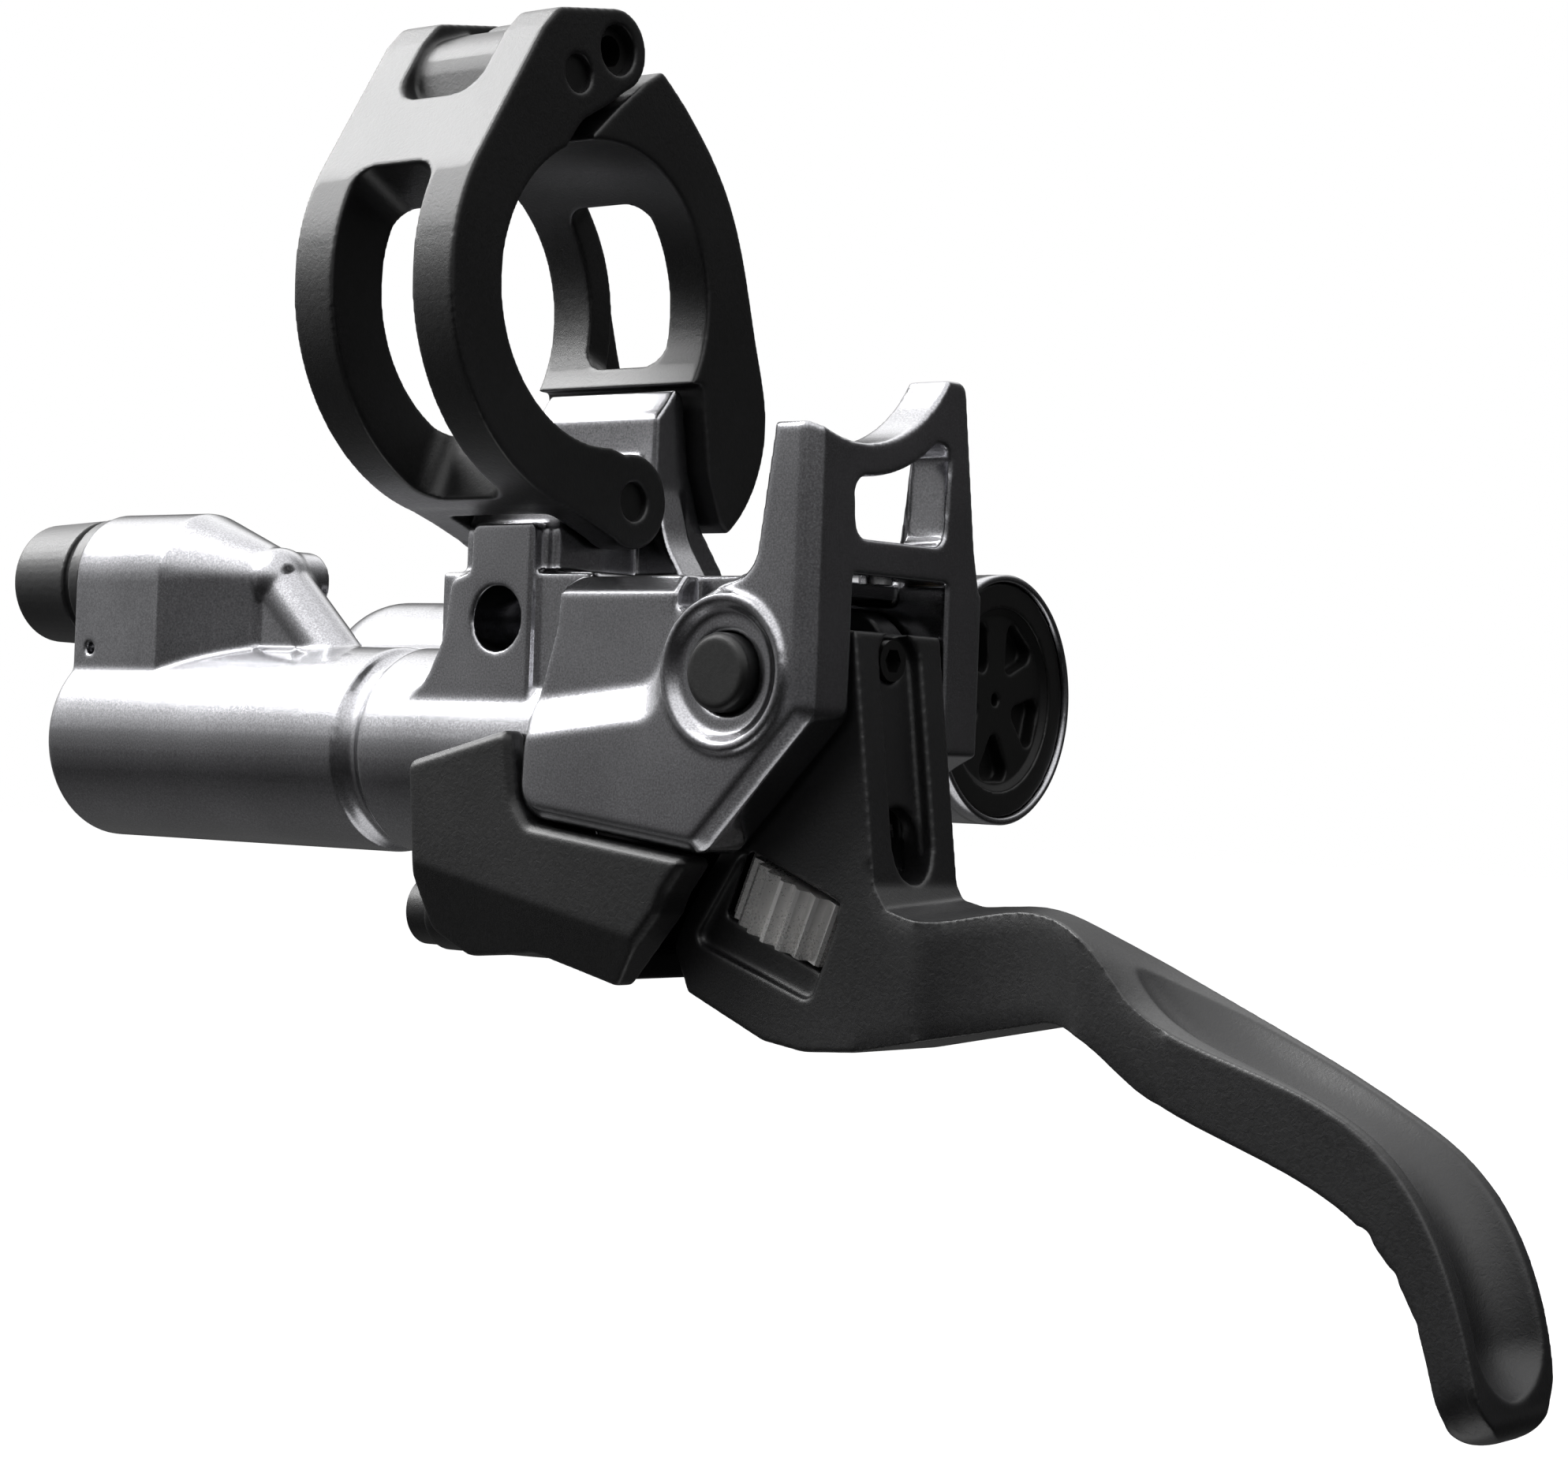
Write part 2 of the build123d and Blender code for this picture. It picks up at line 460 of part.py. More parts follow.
with BuildPart() as lower_cover:
    slab_y(
        [(-6.2, -34.4), (4.1, -31.7), (5.0, -36.9), (6.4, -38.6), (21.6, -40.4), (19.6, -43.0), (19.0, -44.4),
         (14.4, -49.8), (6.3, -47.9), (-1.0, -48.6), (-4.6, -46.8), (-5.4, -43.0)],
        *COVER_Y, radius=[0.8, 0.8, 2.0, 0.8, 0.5, 0.8, 0.8, 0.8, 3.0, 2.0, 1.5, 3.0],
    )
    chamfer(lower_cover.edges().group_by(Axis.Y)[0], 0.5)
    chamfer(lower_cover.edges().group_by(Axis.Y)[-1], 0.5)
    # lower edges drawn in below a fold on both sides
    for side_y, inward in ((COVER_Y[0], 0.9), (COVER_Y[1], -0.9)):
        loft([fold(-9.0, side_y, inward), fold(24.0, side_y, inward)], ruled=True, mode=Mode.SUBTRACT)
    slab_y(
        [(-3.4, -43.0), (6.6, -40.0), (9.0, -36.0), (24.0, -36.0), (24.0, -53.0), (13.3, -53.0),
         (13.1, -47.4), (6.3, -45.9), (1.4, -46.7)],
        -1.9, 11.4, Mode.SUBTRACT,
    )
    rod_x(COVER_SCREW, COVER_SCREW_X, 5.0, 2.9)
    rod_x((MID_Y, CYL_Z), -20.0, 9.0, CYL_R + 0.1, Mode.SUBTRACT)
    with BuildSketch(Plane.XZ.offset(-20.0)) as plate_room:
        with BuildLine():
            FilletPolyline(*PLATE, radius=PLATE_ROUND, close=True)
        make_face()
        offset(amount=0.15)
    extrude(plate_room.sketch, amount=30.0, dir=(0, -1, 0), mode=Mode.SUBTRACT)
    slab_x([(4.9, -41.1), (22.0, -36.1), (22.0, -23.0), (4.9, -23.0)], -30.0, 5.3, Mode.SUBTRACT)
    rod_x(COVER_SCREW, COVER_SCREW_X, 1.0, 1.3, Mode.SUBTRACT)
lower_cover.part.label = "lower_cover"
export_step(lower_cover.part, "parts/lower_cover.step")

with BuildPart() as cover_screw:
    rod_x(COVER_SCREW, COVER_SCREW_X - 2.0, COVER_SCREW_X, 2.6)
    rod_x(COVER_SCREW, COVER_SCREW_X - 0.1, 0.8, 1.25)
cover_screw.part.label = "cover_screw"
export_step(cover_screw.part, "parts/cover_screw.step")

with BuildPart() as reservoir_cap:
    rod(in_reservoir(CAP_DEEP), in_reservoir(5.0), CAP_R)
    taper(in_reservoir(CAP_DEEP), in_reservoir(DISH_DEEP), RES_SEAT_R - 1.95, RES_SEAT_R - 2.9, Mode.SUBTRACT)
    rod(in_reservoir(CAP_DEEP), in_reservoir(5.5), 0.5, Mode.SUBTRACT)
    outward = Vector(*in_reservoir(0)) - Vector(*in_reservoir(1))
    with BuildSketch(Plane(origin=in_reservoir(DISH_DEEP), x_dir=(0, 0, -1), z_dir=outward)):
        for spoke in range(5):
            with BuildLine(Plane.XY.rotated((0, 0, 72 * spoke))):
                FilletPolyline((1.9, 0.0), (5.4, 2.3), (5.4, -2.3), radius=0.7, close=True)
            make_face()
    extrude(amount=-1.2, mode=Mode.SUBTRACT)
reservoir_cap.part.label = "reservoir_cap"
export_step(reservoir_cap.part, "parts/reservoir_cap.step")

with BuildPart() as cap_ring:
    rod(in_reservoir(0.35), in_reservoir(CAP_DEEP), RES_SEAT_R - 0.05)
    rod(in_reservoir(0.0), in_reservoir(CAP_DEEP + 0.5), RES_SEAT_R - 1.9, Mode.SUBTRACT)
cap_ring.part.label = "cap_ring"
export_step(cap_ring.part, "parts/cap_ring.step")

with BuildPart() as bladder:
    rod(in_reservoir(5.0), in_reservoir(6.0), CAP_R)
    rod(in_reservoir(6.0), in_reservoir(20.0), RES_BORE_R - 0.6)
    rod(in_reservoir(4.9), in_reservoir(19.0), RES_BORE_R - 1.6, Mode.SUBTRACT)
bladder.part.label = "bladder"
export_step(bladder.part, "parts/bladder.step")

with BuildPart() as hose_collar:
    rod_x((MID_Y, HOSE_Z), HOSE_FACE_X - 1.4, HOSE_FACE_X, NUT_R + 0.1)
    rod_x((MID_Y, HOSE_Z), HOSE_FACE_X - 0.1, HOSE_FACE_X + 7.3, HOSE_R + 0.9)
    rod_x((MID_Y, HOSE_Z), HOSE_FACE_X - 2.5, HOSE_FACE_X + 7.5, HOSE_R, Mode.SUBTRACT)
hose_collar.part.label = "hose_collar"
export_step(hose_collar.part, "parts/hose_collar.step")

with BuildPart() as hose_nut:
    nut_x = HOSE_FACE_X - 1.4
    rod_x((MID_Y, HOSE_Z), nut_x - 0.8, nut_x, NUT_R - 0.5)
    taper((nut_x - 0.8, MID_Y, HOSE_Z), (nut_x - NUT_LONG, MID_Y, HOSE_Z), NUT_R, NUT_R - 0.35)
    chamfer(hose_nut.edges().filter_by(GeomType.CIRCLE).group_by(Axis.X)[0], 0.8)
    rod_x((MID_Y, HOSE_Z), nut_x - NUT_LONG - 1.0, nut_x + 1.0, HOSE_R, Mode.SUBTRACT)
hose_nut.part.label = "hose_nut"
export_step(hose_nut.part, "parts/hose_nut.step")

with BuildPart() as bleed_screw:
    rod_y(BLEED, *BLEED_Y, BLEED_R)
    with BuildSketch(Plane.XZ.offset(-BLEED_Y[1])):
        with Locations(BLEED):
            RegularPolygon(0.9, 6)
    extrude(amount=1.2, mode=Mode.SUBTRACT)
bleed_screw.part.label = "bleed_screw"
export_step(bleed_screw.part, "parts/bleed_screw.step")

with BuildPart() as pivot_pin:
    rod_y(PIVOT, PLATE_Y - 0.6, 13.1, PIN_R)
    rod_y(PIVOT, PLATE_Y - 0.9, PLATE_Y + 1.1, PIN_R + 0.25)
    chamfer(pivot_pin.edges().filter_by(GeomType.CIRCLE).group_by(Axis.Y)[0], 0.35)
pivot_pin.part.label = "pivot_pin"
export_step(pivot_pin.part, "parts/pivot_pin.step")

with BuildPart() as pivot_clip:
    rod_y(PIVOT, 11.0, 11.6, 3.4)
    rod_y(PIVOT, 10.0, 12.0, PIN_R + 0.02, Mode.SUBTRACT)
pivot_clip.part.label = "pivot_clip"
export_step(pivot_clip.part, "parts/pivot_clip.step")

with BuildPart() as stop_screw:
    rod(STOP_SCREW, (STOP_SCREW[0], STOP_SCREW[1], STOP_SCREW[2] + 2.6), 1.2)
stop_screw.part.label = "stop_screw"
export_step(stop_screw.part, "parts/stop_screw.step")

with BuildPart() as link_pin:
    rod_y(LINK, -3.1, 12.8, LINK_PIN_R)
link_pin.part.label = "link_pin"
export_step(link_pin.part, "parts/link_pin.step")

with BuildPart() as piston_clip:
    rod_x((MID_Y, CYL_Z), 5.75, 6.65, BORE_R + 0.6)
    rod_x((MID_Y, CYL_Z), 5.0, 7.0, 3.4, Mode.SUBTRACT)
piston_clip.part.label = "piston_clip"
export_step(piston_clip.part, "parts/piston_clip.step")

# Lever blade: bar side of its near and far outlines, then the finger side they share
NEAR_TOP = [
    (37.0, -43.7), (41.7, -43.4), (46.8, -42.6), (49.6, -43.3), (52.6, -45.4), (55.1, -48.1), (58.3, -49.8),
    (63.5, -51.4), (68.6, -53.0), (73.1, -55.4), (76.5, -59.2), (79.1, -64.6), (81.0, -71.0),
]
FAR_TOP = [
    (36.6, -43.0), (39.4, -42.8), (42.4, -42.8), (46.5, -44.0), (52.5, -46.3), (56.0, -47.7), (61.5, -50.0),
    (66.3, -52.1), (70.9, -54.4), (73.8, -56.1), (76.6, -58.6), (78.9, -62.2), (81.0, -71.0),
]
TIP = (79.95, -73.0)
FINGER_LOW = [
    (78.3, -71.6), (77.4, -69.0), (76.5, -66.2), (74.8, -63.2), (72.2, -60.5), (68.9, -58.6), (63.5, -56.6),
    (57.7, -54.5),
]
TROUGH = [
    (54.0, -47.0), (57.4, -48.8), (63.0, -50.95), (68.8, -53.2), (73.3, -55.7), (76.6, -59.0), (79.0, -63.4),
    (80.1, -67.0),
]
ARM_DOWN = (0.1318, 0, -0.9914)
ARM_OUT = (0.9914, 0, 0.1318)


def blade_outline(y, top, heel):
    """Outline of the blade at one Y station."""
    with BuildSketch(Plane.XZ.offset(-y)) as face:
        with BuildLine():
            Polyline((28.7, -24.4), (31.8, -24.3), (34.1, -41.6), heel, top[0])
            Spline(*top)
            ThreePointArc(top[-1], TIP, FINGER_LOW[0])
            Spline(*FINGER_LOW)
            Spline(FINGER_LOW[-1], (54.6, -52.9), (51.2, -50.7), (47.8, -50.0))
            Polyline((47.8, -50.0), (32.8, -53.1), (28.4, -53.4), (24.8, -52.9), (17.8, -50.0), (16.4, -46.8),
                     (17.6, -44.2), (21.6, -38.0), (20.4, -30.8))
            ThreePointArc((20.4, -30.8), (PIVOT[0] - 3.0, PIVOT[1] + 4.2474), (28.7, -24.4))
        make_face()
    return face.sketch


with BuildPart() as lever_blade:
    near_y = MID_Y - LEVER_W / 2
    far_y = MID_Y + LEVER_W / 2
    near_face = blade_outline(near_y, NEAR_TOP, (35.2, -43.2))
    far_face = blade_outline(far_y, FAR_TOP, (34.7, -42.6))
    loft([near_face, far_face], ruled=True)
    # fork for the inner lever
    slab_y([(15.0, -20.0), (29.6, -20.0), (31.2, -39.3), (31.4, -41.0), (24.2, -37.8), (15.0, -36.0)],
           *FORK_Y, mode=Mode.SUBTRACT)
    # trough on the outboard face of the arm, with a deep lower end
    with BuildSketch(Plane(origin=(32.9, MID_Y, -32.6), x_dir=ARM_DOWN, z_dir=ARM_OUT)) as arm:
        SlotOverall(17.2, FORK_Y[1] - FORK_Y[0])
    extrude(arm.sketch, amount=1.1, both=True, mode=Mode.SUBTRACT)
    with BuildSketch(Plane(origin=(33.75, MID_Y, -38.9), x_dir=ARM_DOWN, z_dir=ARM_OUT)) as well:
        SlotOverall(5.4, FORK_Y[1] - FORK_Y[0] - 0.4)
    extrude(well.sketch, amount=-4.5, mode=Mode.SUBTRACT)
    rod_y(PIVOT, -1.0, 12.0, 3.4, Mode.SUBTRACT)
    rod(on_screw(-2.6), on_screw(2.6), WHEEL_POCKET_R, Mode.SUBTRACT)
    rod(on_screw(-6.6), on_screw(6.0), SCREW_R + 0.05, Mode.SUBTRACT)
    # recessed panel around the wheel, and the scooped neck
    slab_y([(22.4, -39.9), (31.2, -43.9), (28.9, -49.9), (18.2, -46.3)],
           near_y - 1.0, near_y + 0.6, Mode.SUBTRACT, radius=0.8)
    rod((44.5, near_y - 13.6, -60.0), (44.5, near_y - 13.6, -35.0), 15.0, Mode.SUBTRACT)
    # trough on the bar side of the finger
    lifts = [TROUGH_R + 0.1, 2.9] + [TROUGH_LIFT] * (len(TROUGH) - 2)
    run = [(x, MID_Y, z) for x, z in beside(TROUGH, lifts)]
    with BuildLine() as track:
        Spline(*run)
    with BuildSketch(Plane(origin=track.line @ 0, z_dir=track.line % 0)) as ring:
        Circle(TROUGH_R)
    sweep(ring.sketch, path=track.line, mode=Mode.SUBTRACT)
    with Locations(run[-1]):
        Sphere(TROUGH_R, mode=Mode.SUBTRACT)
    rod((29.0, MID_Y, -26.2), (40.0, MID_Y, -26.2), 1.5, Mode.SUBTRACT)
lever_blade.part.label = "lever_blade"
export_step(lever_blade.part, "parts/lever_blade.step")

with BuildPart() as lever_set_screw:
    rod((29.7, MID_Y, -26.2), (31.4, MID_Y, -26.2), 1.45)
    with BuildSketch(Plane.YZ.offset(31.4)):
        with Locations((MID_Y, -26.2)):
            RegularPolygon(0.9, 6)
    extrude(amount=-1.0, mode=Mode.SUBTRACT)
lever_set_screw.part.label = "lever_set_screw"
export_step(lever_set_screw.part, "parts/lever_set_screw.step")

with BuildPart() as pivot_bush_front:
    rod_y(PIVOT, MID_Y - LEVER_W / 2 - 0.2, FORK_Y[0] - 0.1, 3.38)
    rod_y(PIVOT, -1.0, 3.0, PIN_R + 0.05, Mode.SUBTRACT)
pivot_bush_front.part.label = "pivot_bush_front"
export_step(pivot_bush_front.part, "parts/pivot_bush_front.step")

with BuildPart() as pivot_bush_back:
    rod_y(PIVOT, FORK_Y[1] + 0.1, MID_Y + LEVER_W / 2 + 0.2, 3.38)
    rod_y(PIVOT, 7.0, 11.0, PIN_R + 0.05, Mode.SUBTRACT)
pivot_bush_back.part.label = "pivot_bush_back"
export_step(pivot_bush_back.part, "parts/pivot_bush_back.step")

with BuildPart() as lever_cam:
    rod_y(PIVOT, *CAM_Y, 3.9)
    rod_y(NOSE, *CAM_Y, CAM_NOSE_R)
    slab_y(
        [(NOSE[0] - 0.3, NOSE[1] + 1.47), (23.6, -23.75), (23.0, -29.8), (20.9, -28.2),
         (NOSE[0], NOSE[1] - 1.2)],
        *CAM_Y,
    )
    # foot that the reach screw bears on
    foot = on_screw(SCREW_TIP + GAP)
    slab_y(
        [(foot[0] - 2.0 * WHEEL_AXIS[1], foot[2] + 2.0 * WHEEL_AXIS[0]),
         (foot[0] + 1.9 * WHEEL_AXIS[1], foot[2] - 1.9 * WHEEL_AXIS[0]),
         (28.3, -28.0), (24.5, -27.5), (22.4, -30.6)],
        *CAM_Y,
    )
    rod_y(PIVOT, 2.0, 8.0, PIN_R + 0.05, Mode.SUBTRACT)
lever_cam.part.label = "lever_cam"
export_step(lever_cam.part, "parts/lever_cam.step")

with BuildPart() as swing_link:
    start = LINK_ARM * sin(radians(PULL_DEG * LINK_RATIO / 2))
    drop = LINK_ARM * cos(radians(PULL_DEG * LINK_RATIO / 2))
    tip = (LINK[0] + start, LINK[1] - drop)
    rod_y(LINK, *CAM_Y, 2.7)
    rod_y(tip, *CAM_Y, LINK_NOSE_R)
    slab_y(
        [(LINK[0] - 1.4, LINK[1] - 2.2), (14.4, -29.2), (tip[0] - 1.74, tip[1] + 0.4),
         (tip[0] + 1.78, tip[1] + 0.2), (19.4, -30.4), (19.4, -27.6), (LINK[0] + 2.0, LINK[1] - 1.0)],
        *CAM_Y,
    )
    for spot in NOSE_TRACK:
        rod_y(spot, 2.0, 8.0, CAM_NOSE_R + GAP, Mode.SUBTRACT)
    rod_y(LINK, 2.0, 8.0, LINK_PIN_R + 0.05, Mode.SUBTRACT)
swing_link.part.label = "swing_link"
export_step(swing_link.part, "parts/swing_link.step")

with BuildPart() as reach_wheel:
    rod(on_screw(-WHEEL_H / 2), on_screw(WHEEL_H / 2), WHEEL_R)
    rod(on_screw(-3.0), on_screw(3.0), SCREW_R + 0.06, Mode.SUBTRACT)
    with BuildSketch(Plane(origin=on_screw(-3.0), z_dir=Vector(WHEEL_AXIS[0], 0, WHEEL_AXIS[1]))):
        with PolarLocations(WHEEL_R + 0.1, FLUTES):
            Rectangle(1.0, 1.0, rotation=45)
    extrude(amount=6.0, mode=Mode.SUBTRACT)
reach_wheel.part.label = "reach_wheel"
export_step(reach_wheel.part, "parts/reach_wheel.step")

with BuildPart() as reach_screw:
    rod(on_screw(-5.4), on_screw(SCREW_TIP - 0.5), SCREW_R)
    taper(on_screw(SCREW_TIP - 0.5), on_screw(SCREW_TIP), SCREW_R, 1.2)
reach_screw.part.label = "reach_screw"
export_step(reach_screw.part, "parts/reach_screw.step")

with BuildPart() as master_piston:
    rod_x((MID_Y, CYL_Z), 7.2, PISTON_FACE_X, 3.2)
    rod_x((MID_Y, CYL_Z), 2.6, 7.3, 3.2)
    rod_x((MID_Y, CYL_Z), -0.2, 5.6, BORE_R - 0.04)
    rod_x((MID_Y, CYL_Z), -14.0, -0.1, 3.0)
    rod_x((MID_Y, CYL_Z), -14.0, -12.6, BORE_R - 0.04)
    rod_x((MID_Y, CYL_Z), 1.2, 3.2, BORE_R + 1, Mode.SUBTRACT)
    rod_x((MID_Y, CYL_Z), 1.1, 3.3, 3.5)
    rod_x((MID_Y, CYL_Z), -15.0, PISTON_FACE_X - 3.0, 1.9, Mode.SUBTRACT)
master_piston.part.label = "master_piston"
export_step(master_piston.part, "parts/master_piston.step")

with BuildPart() as secondary_seal:
    rod_x((MID_Y, CYL_Z), 1.25, 3.15, BORE_R - 0.02)
    rod_x((MID_Y, CYL_Z), 1.0, 3.5, 3.52, Mode.SUBTRACT)
secondary_seal.part.label = "secondary_seal"
export_step(secondary_seal.part, "parts/secondary_seal.step")

with BuildPart() as primary_seal:
    rod_x((MID_Y, CYL_Z), -12.5, -10.4, BORE_R - 0.02)
    rod_x((MID_Y, CYL_Z), -13.0, -10.0, 3.02, Mode.SUBTRACT)
primary_seal.part.label = "primary_seal"
export_step(primary_seal.part, "parts/primary_seal.step")

with BuildPart() as return_spring:
    with BuildLine() as coil:
        Helix(pitch=4.5, height=SPRING_X[1] - SPRING_X[0], radius=3.6, center=(SPRING_X[0], MID_Y, CYL_Z),
              direction=(1, 0, 0))
    with BuildSketch(Plane(origin=coil.line @ 0, z_dir=coil.line % 0)):
        RegularPolygon(0.6, 4)
    sweep()
return_spring.part.label = "return_spring"
export_step(return_spring.part, "parts/return_spring.step")
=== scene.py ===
"""Looks of a hydraulic brake lever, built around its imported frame.

The frame is in metres: +X outboard along the bar, +Z from the lever towards the bar,
+Y away from the viewer.
"""

import json
import logging
import math
from collections.abc import Sequence
from dataclasses import dataclass, field
from enum import Enum

import bpy
import numpy as np
from mathutils import Matrix, Vector


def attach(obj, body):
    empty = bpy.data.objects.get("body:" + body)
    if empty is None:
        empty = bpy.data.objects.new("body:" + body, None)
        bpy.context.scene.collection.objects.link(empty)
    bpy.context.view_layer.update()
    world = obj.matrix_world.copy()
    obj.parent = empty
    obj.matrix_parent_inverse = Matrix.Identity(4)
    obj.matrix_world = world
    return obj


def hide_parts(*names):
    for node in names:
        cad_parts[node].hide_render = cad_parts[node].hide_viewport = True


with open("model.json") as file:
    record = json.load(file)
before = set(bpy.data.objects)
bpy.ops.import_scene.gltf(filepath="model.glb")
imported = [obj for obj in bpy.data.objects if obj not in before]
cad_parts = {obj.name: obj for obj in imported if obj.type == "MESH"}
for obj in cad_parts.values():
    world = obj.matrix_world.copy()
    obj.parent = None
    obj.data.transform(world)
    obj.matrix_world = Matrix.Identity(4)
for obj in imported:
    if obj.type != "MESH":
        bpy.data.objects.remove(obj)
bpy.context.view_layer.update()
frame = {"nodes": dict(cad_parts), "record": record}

MM = 0.001
LOG = logging.getLogger("brake_lever")

Point = tuple[float, float, float]
Pair = tuple[float, float]

# Points closer than this are one point.
MERGE_MM = 0.002
# How far one smoothing pass goes.
SMOOTH_STEP = 0.5

# Blotches that lie over every finish, and their octaves.
BROAD_MM = 9.0
BROAD_DETAIL = 3.0
FINE_DETAIL = 2.0
# Share of the fine pattern in the colour's swing, and the values that it swings between.
FINE_SHARE = 0.7
TINT_SPAN = (0.36, 0.64)
# Values of both patterns together that the roughness swings between, and its least.
ROUGH_SPAN = (0.6, 1.4)
LEAST_ROUGHNESS = 0.03
# Height of a grain as a share of its size.
GRAIN_HEIGHT = 0.15
# Leather-like grain: size as a share of the finish's grain, octaves and distortion.
LEATHER_SHARE = 1.6
LEATHER_DETAIL = 1.5
LEATHER_PULL = 1.1
# Turning marks: waves to a grain and distortion.
RINGS_SHARE = 0.3
RINGS_PULL = 2.0


class Grain(Enum):
    """How the surface of a finish is broken up."""

    POLISHED = "polished"
    LEATHERY = "leathery"
    MOULDED = "moulded"
    TURNED = "turned"


@dataclass(frozen=True)
class Finish:
    """One procedural finish.

    Args:
        name: Material name.
        colour: Base colour, linear.
        metallic: Metallic share of the shader.
        roughness: Middle roughness.
        grain: Kind of surface break-up.
        grain_mm: Size of one grain, in millimetres.
        bump: Strength of the grain's bump.
        spread: How far the roughness swings about its middle.
        speckle: How far the colour swings from grain to grain.
        specular: Specular level of the shader.
        coat: Weight of a clear coat.
        coat_roughness: Roughness of that coat.
    """

    name: str
    colour: Point
    metallic: float
    roughness: float
    grain: Grain
    grain_mm: float
    bump: float
    spread: float
    speckle: float = 0.1
    specular: float = 0.5
    coat: float = 0.0
    coat_roughness: float = 0.1

    def build(self) -> bpy.types.Material:
        """Make the material from its nodes.

        Returns:
            The finished material.
        """
        material = bpy.data.materials.new(self.name)
        material.use_nodes = True
        tree = material.node_tree
        shader = tree.nodes["Principled BSDF"]
        shader.inputs["Metallic"].default_value = self.metallic
        shader.inputs["Specular IOR Level"].default_value = self.specular
        shader.inputs["Coat Weight"].default_value = self.coat
        shader.inputs["Coat Roughness"].default_value = self.coat_roughness
        place = tree.nodes.new("ShaderNodeTexCoord").outputs["Object"]
        fine = self._pattern(tree, place)
        broad = self._noise(tree, place, BROAD_MM, BROAD_DETAIL)
        self._tint(tree, shader, broad, fine)
        self._roughen(tree, shader, broad, fine)
        bump = tree.nodes.new("ShaderNodeBump")
        bump.inputs["Strength"].default_value = self.bump
        bump.inputs["Distance"].default_value = GRAIN_HEIGHT * self.grain_mm * MM
        tree.links.new(fine, bump.inputs["Height"])
        tree.links.new(bump.outputs["Normal"], shader.inputs["Normal"])
        return material

    def _noise(
        self,
        tree: bpy.types.NodeTree,
        place: bpy.types.NodeSocket,
        size_mm: float,
        detail: float,
        distortion: float = 0.0,
    ) -> bpy.types.NodeSocket:
        """Add a noise of a given size.

        Args:
            tree: Node tree to add to.
            place: Coordinates.
            size_mm: Size of one blotch.
            detail: Octaves.
            distortion: How far the blotches are pulled out of shape.

        Returns:
            The noise factor.
        """
        noise = tree.nodes.new("ShaderNodeTexNoise")
        noise.inputs["Scale"].default_value = 1.0 / (size_mm * MM)
        noise.inputs["Detail"].default_value = detail
        noise.inputs["Distortion"].default_value = distortion
        tree.links.new(place, noise.inputs["Vector"])
        return noise.outputs["Fac"]

    def _pattern(
        self, tree: bpy.types.NodeTree, place: bpy.types.NodeSocket
    ) -> bpy.types.NodeSocket:
        """Add the fine break-up of the surface.

        Args:
            tree: Node tree to add to.
            place: Coordinates.

        Returns:
            Height of the break-up.
        """
        if self.grain is Grain.LEATHERY:
            size_mm = LEATHER_SHARE * self.grain_mm
            return self._noise(tree, place, size_mm, LEATHER_DETAIL, LEATHER_PULL)
        if self.grain is Grain.TURNED:
            rings = tree.nodes.new("ShaderNodeTexWave")
            rings.inputs["Scale"].default_value = RINGS_SHARE / (self.grain_mm * MM)
            rings.inputs["Distortion"].default_value = RINGS_PULL
            tree.links.new(place, rings.inputs["Vector"])
            return rings.outputs["Fac"]
        return self._noise(tree, place, self.grain_mm, FINE_DETAIL)

    def _tint(
        self,
        tree: bpy.types.NodeTree,
        shader: bpy.types.Node,
        broad: bpy.types.NodeSocket,
        fine: bpy.types.NodeSocket,
    ) -> None:
        """Vary the base colour with both noises.

        Args:
            tree: Node tree to add to.
            shader: Shader to feed.
            broad: Broad noise.
            fine: Fine pattern.
        """
        mixed = tree.nodes.new("ShaderNodeMix")
        mixed.inputs["Factor"].default_value = FINE_SHARE
        tree.links.new(broad, mixed.inputs["A"])
        tree.links.new(fine, mixed.inputs["B"])
        ramp = tree.nodes.new("ShaderNodeValToRGB")
        swings = (1.0 - self.speckle, 1.0 + self.speckle)
        for stop, position, swing in zip(ramp.color_ramp.elements, TINT_SPAN, swings):
            stop.position = position
            stop.color = (*[min(1.0, swing * c) for c in self.colour], 1.0)
        tree.links.new(mixed.outputs["Result"], ramp.inputs["Fac"])
        tree.links.new(ramp.outputs["Color"], shader.inputs["Base Color"])

    def _roughen(
        self,
        tree: bpy.types.NodeTree,
        shader: bpy.types.Node,
        broad: bpy.types.NodeSocket,
        fine: bpy.types.NodeSocket,
    ) -> None:
        """Swing the roughness about its middle with both noises.

        Args:
            tree: Node tree to add to.
            shader: Shader to feed.
            broad: Broad noise.
            fine: Fine pattern.
        """
        both = tree.nodes.new("ShaderNodeMath")
        both.operation = "ADD"
        tree.links.new(broad, both.inputs[0])
        tree.links.new(fine, both.inputs[1])
        reach = tree.nodes.new("ShaderNodeMapRange")
        reach.inputs["From Min"].default_value = ROUGH_SPAN[0]
        reach.inputs["From Max"].default_value = ROUGH_SPAN[1]
        reach.inputs["To Min"].default_value = max(LEAST_ROUGHNESS, self.roughness - self.spread)
        reach.inputs["To Max"].default_value = min(1.0, self.roughness + self.spread)
        tree.links.new(both.outputs[0], reach.inputs["Value"])
        tree.links.new(reach.outputs["Result"], shader.inputs["Roughness"])


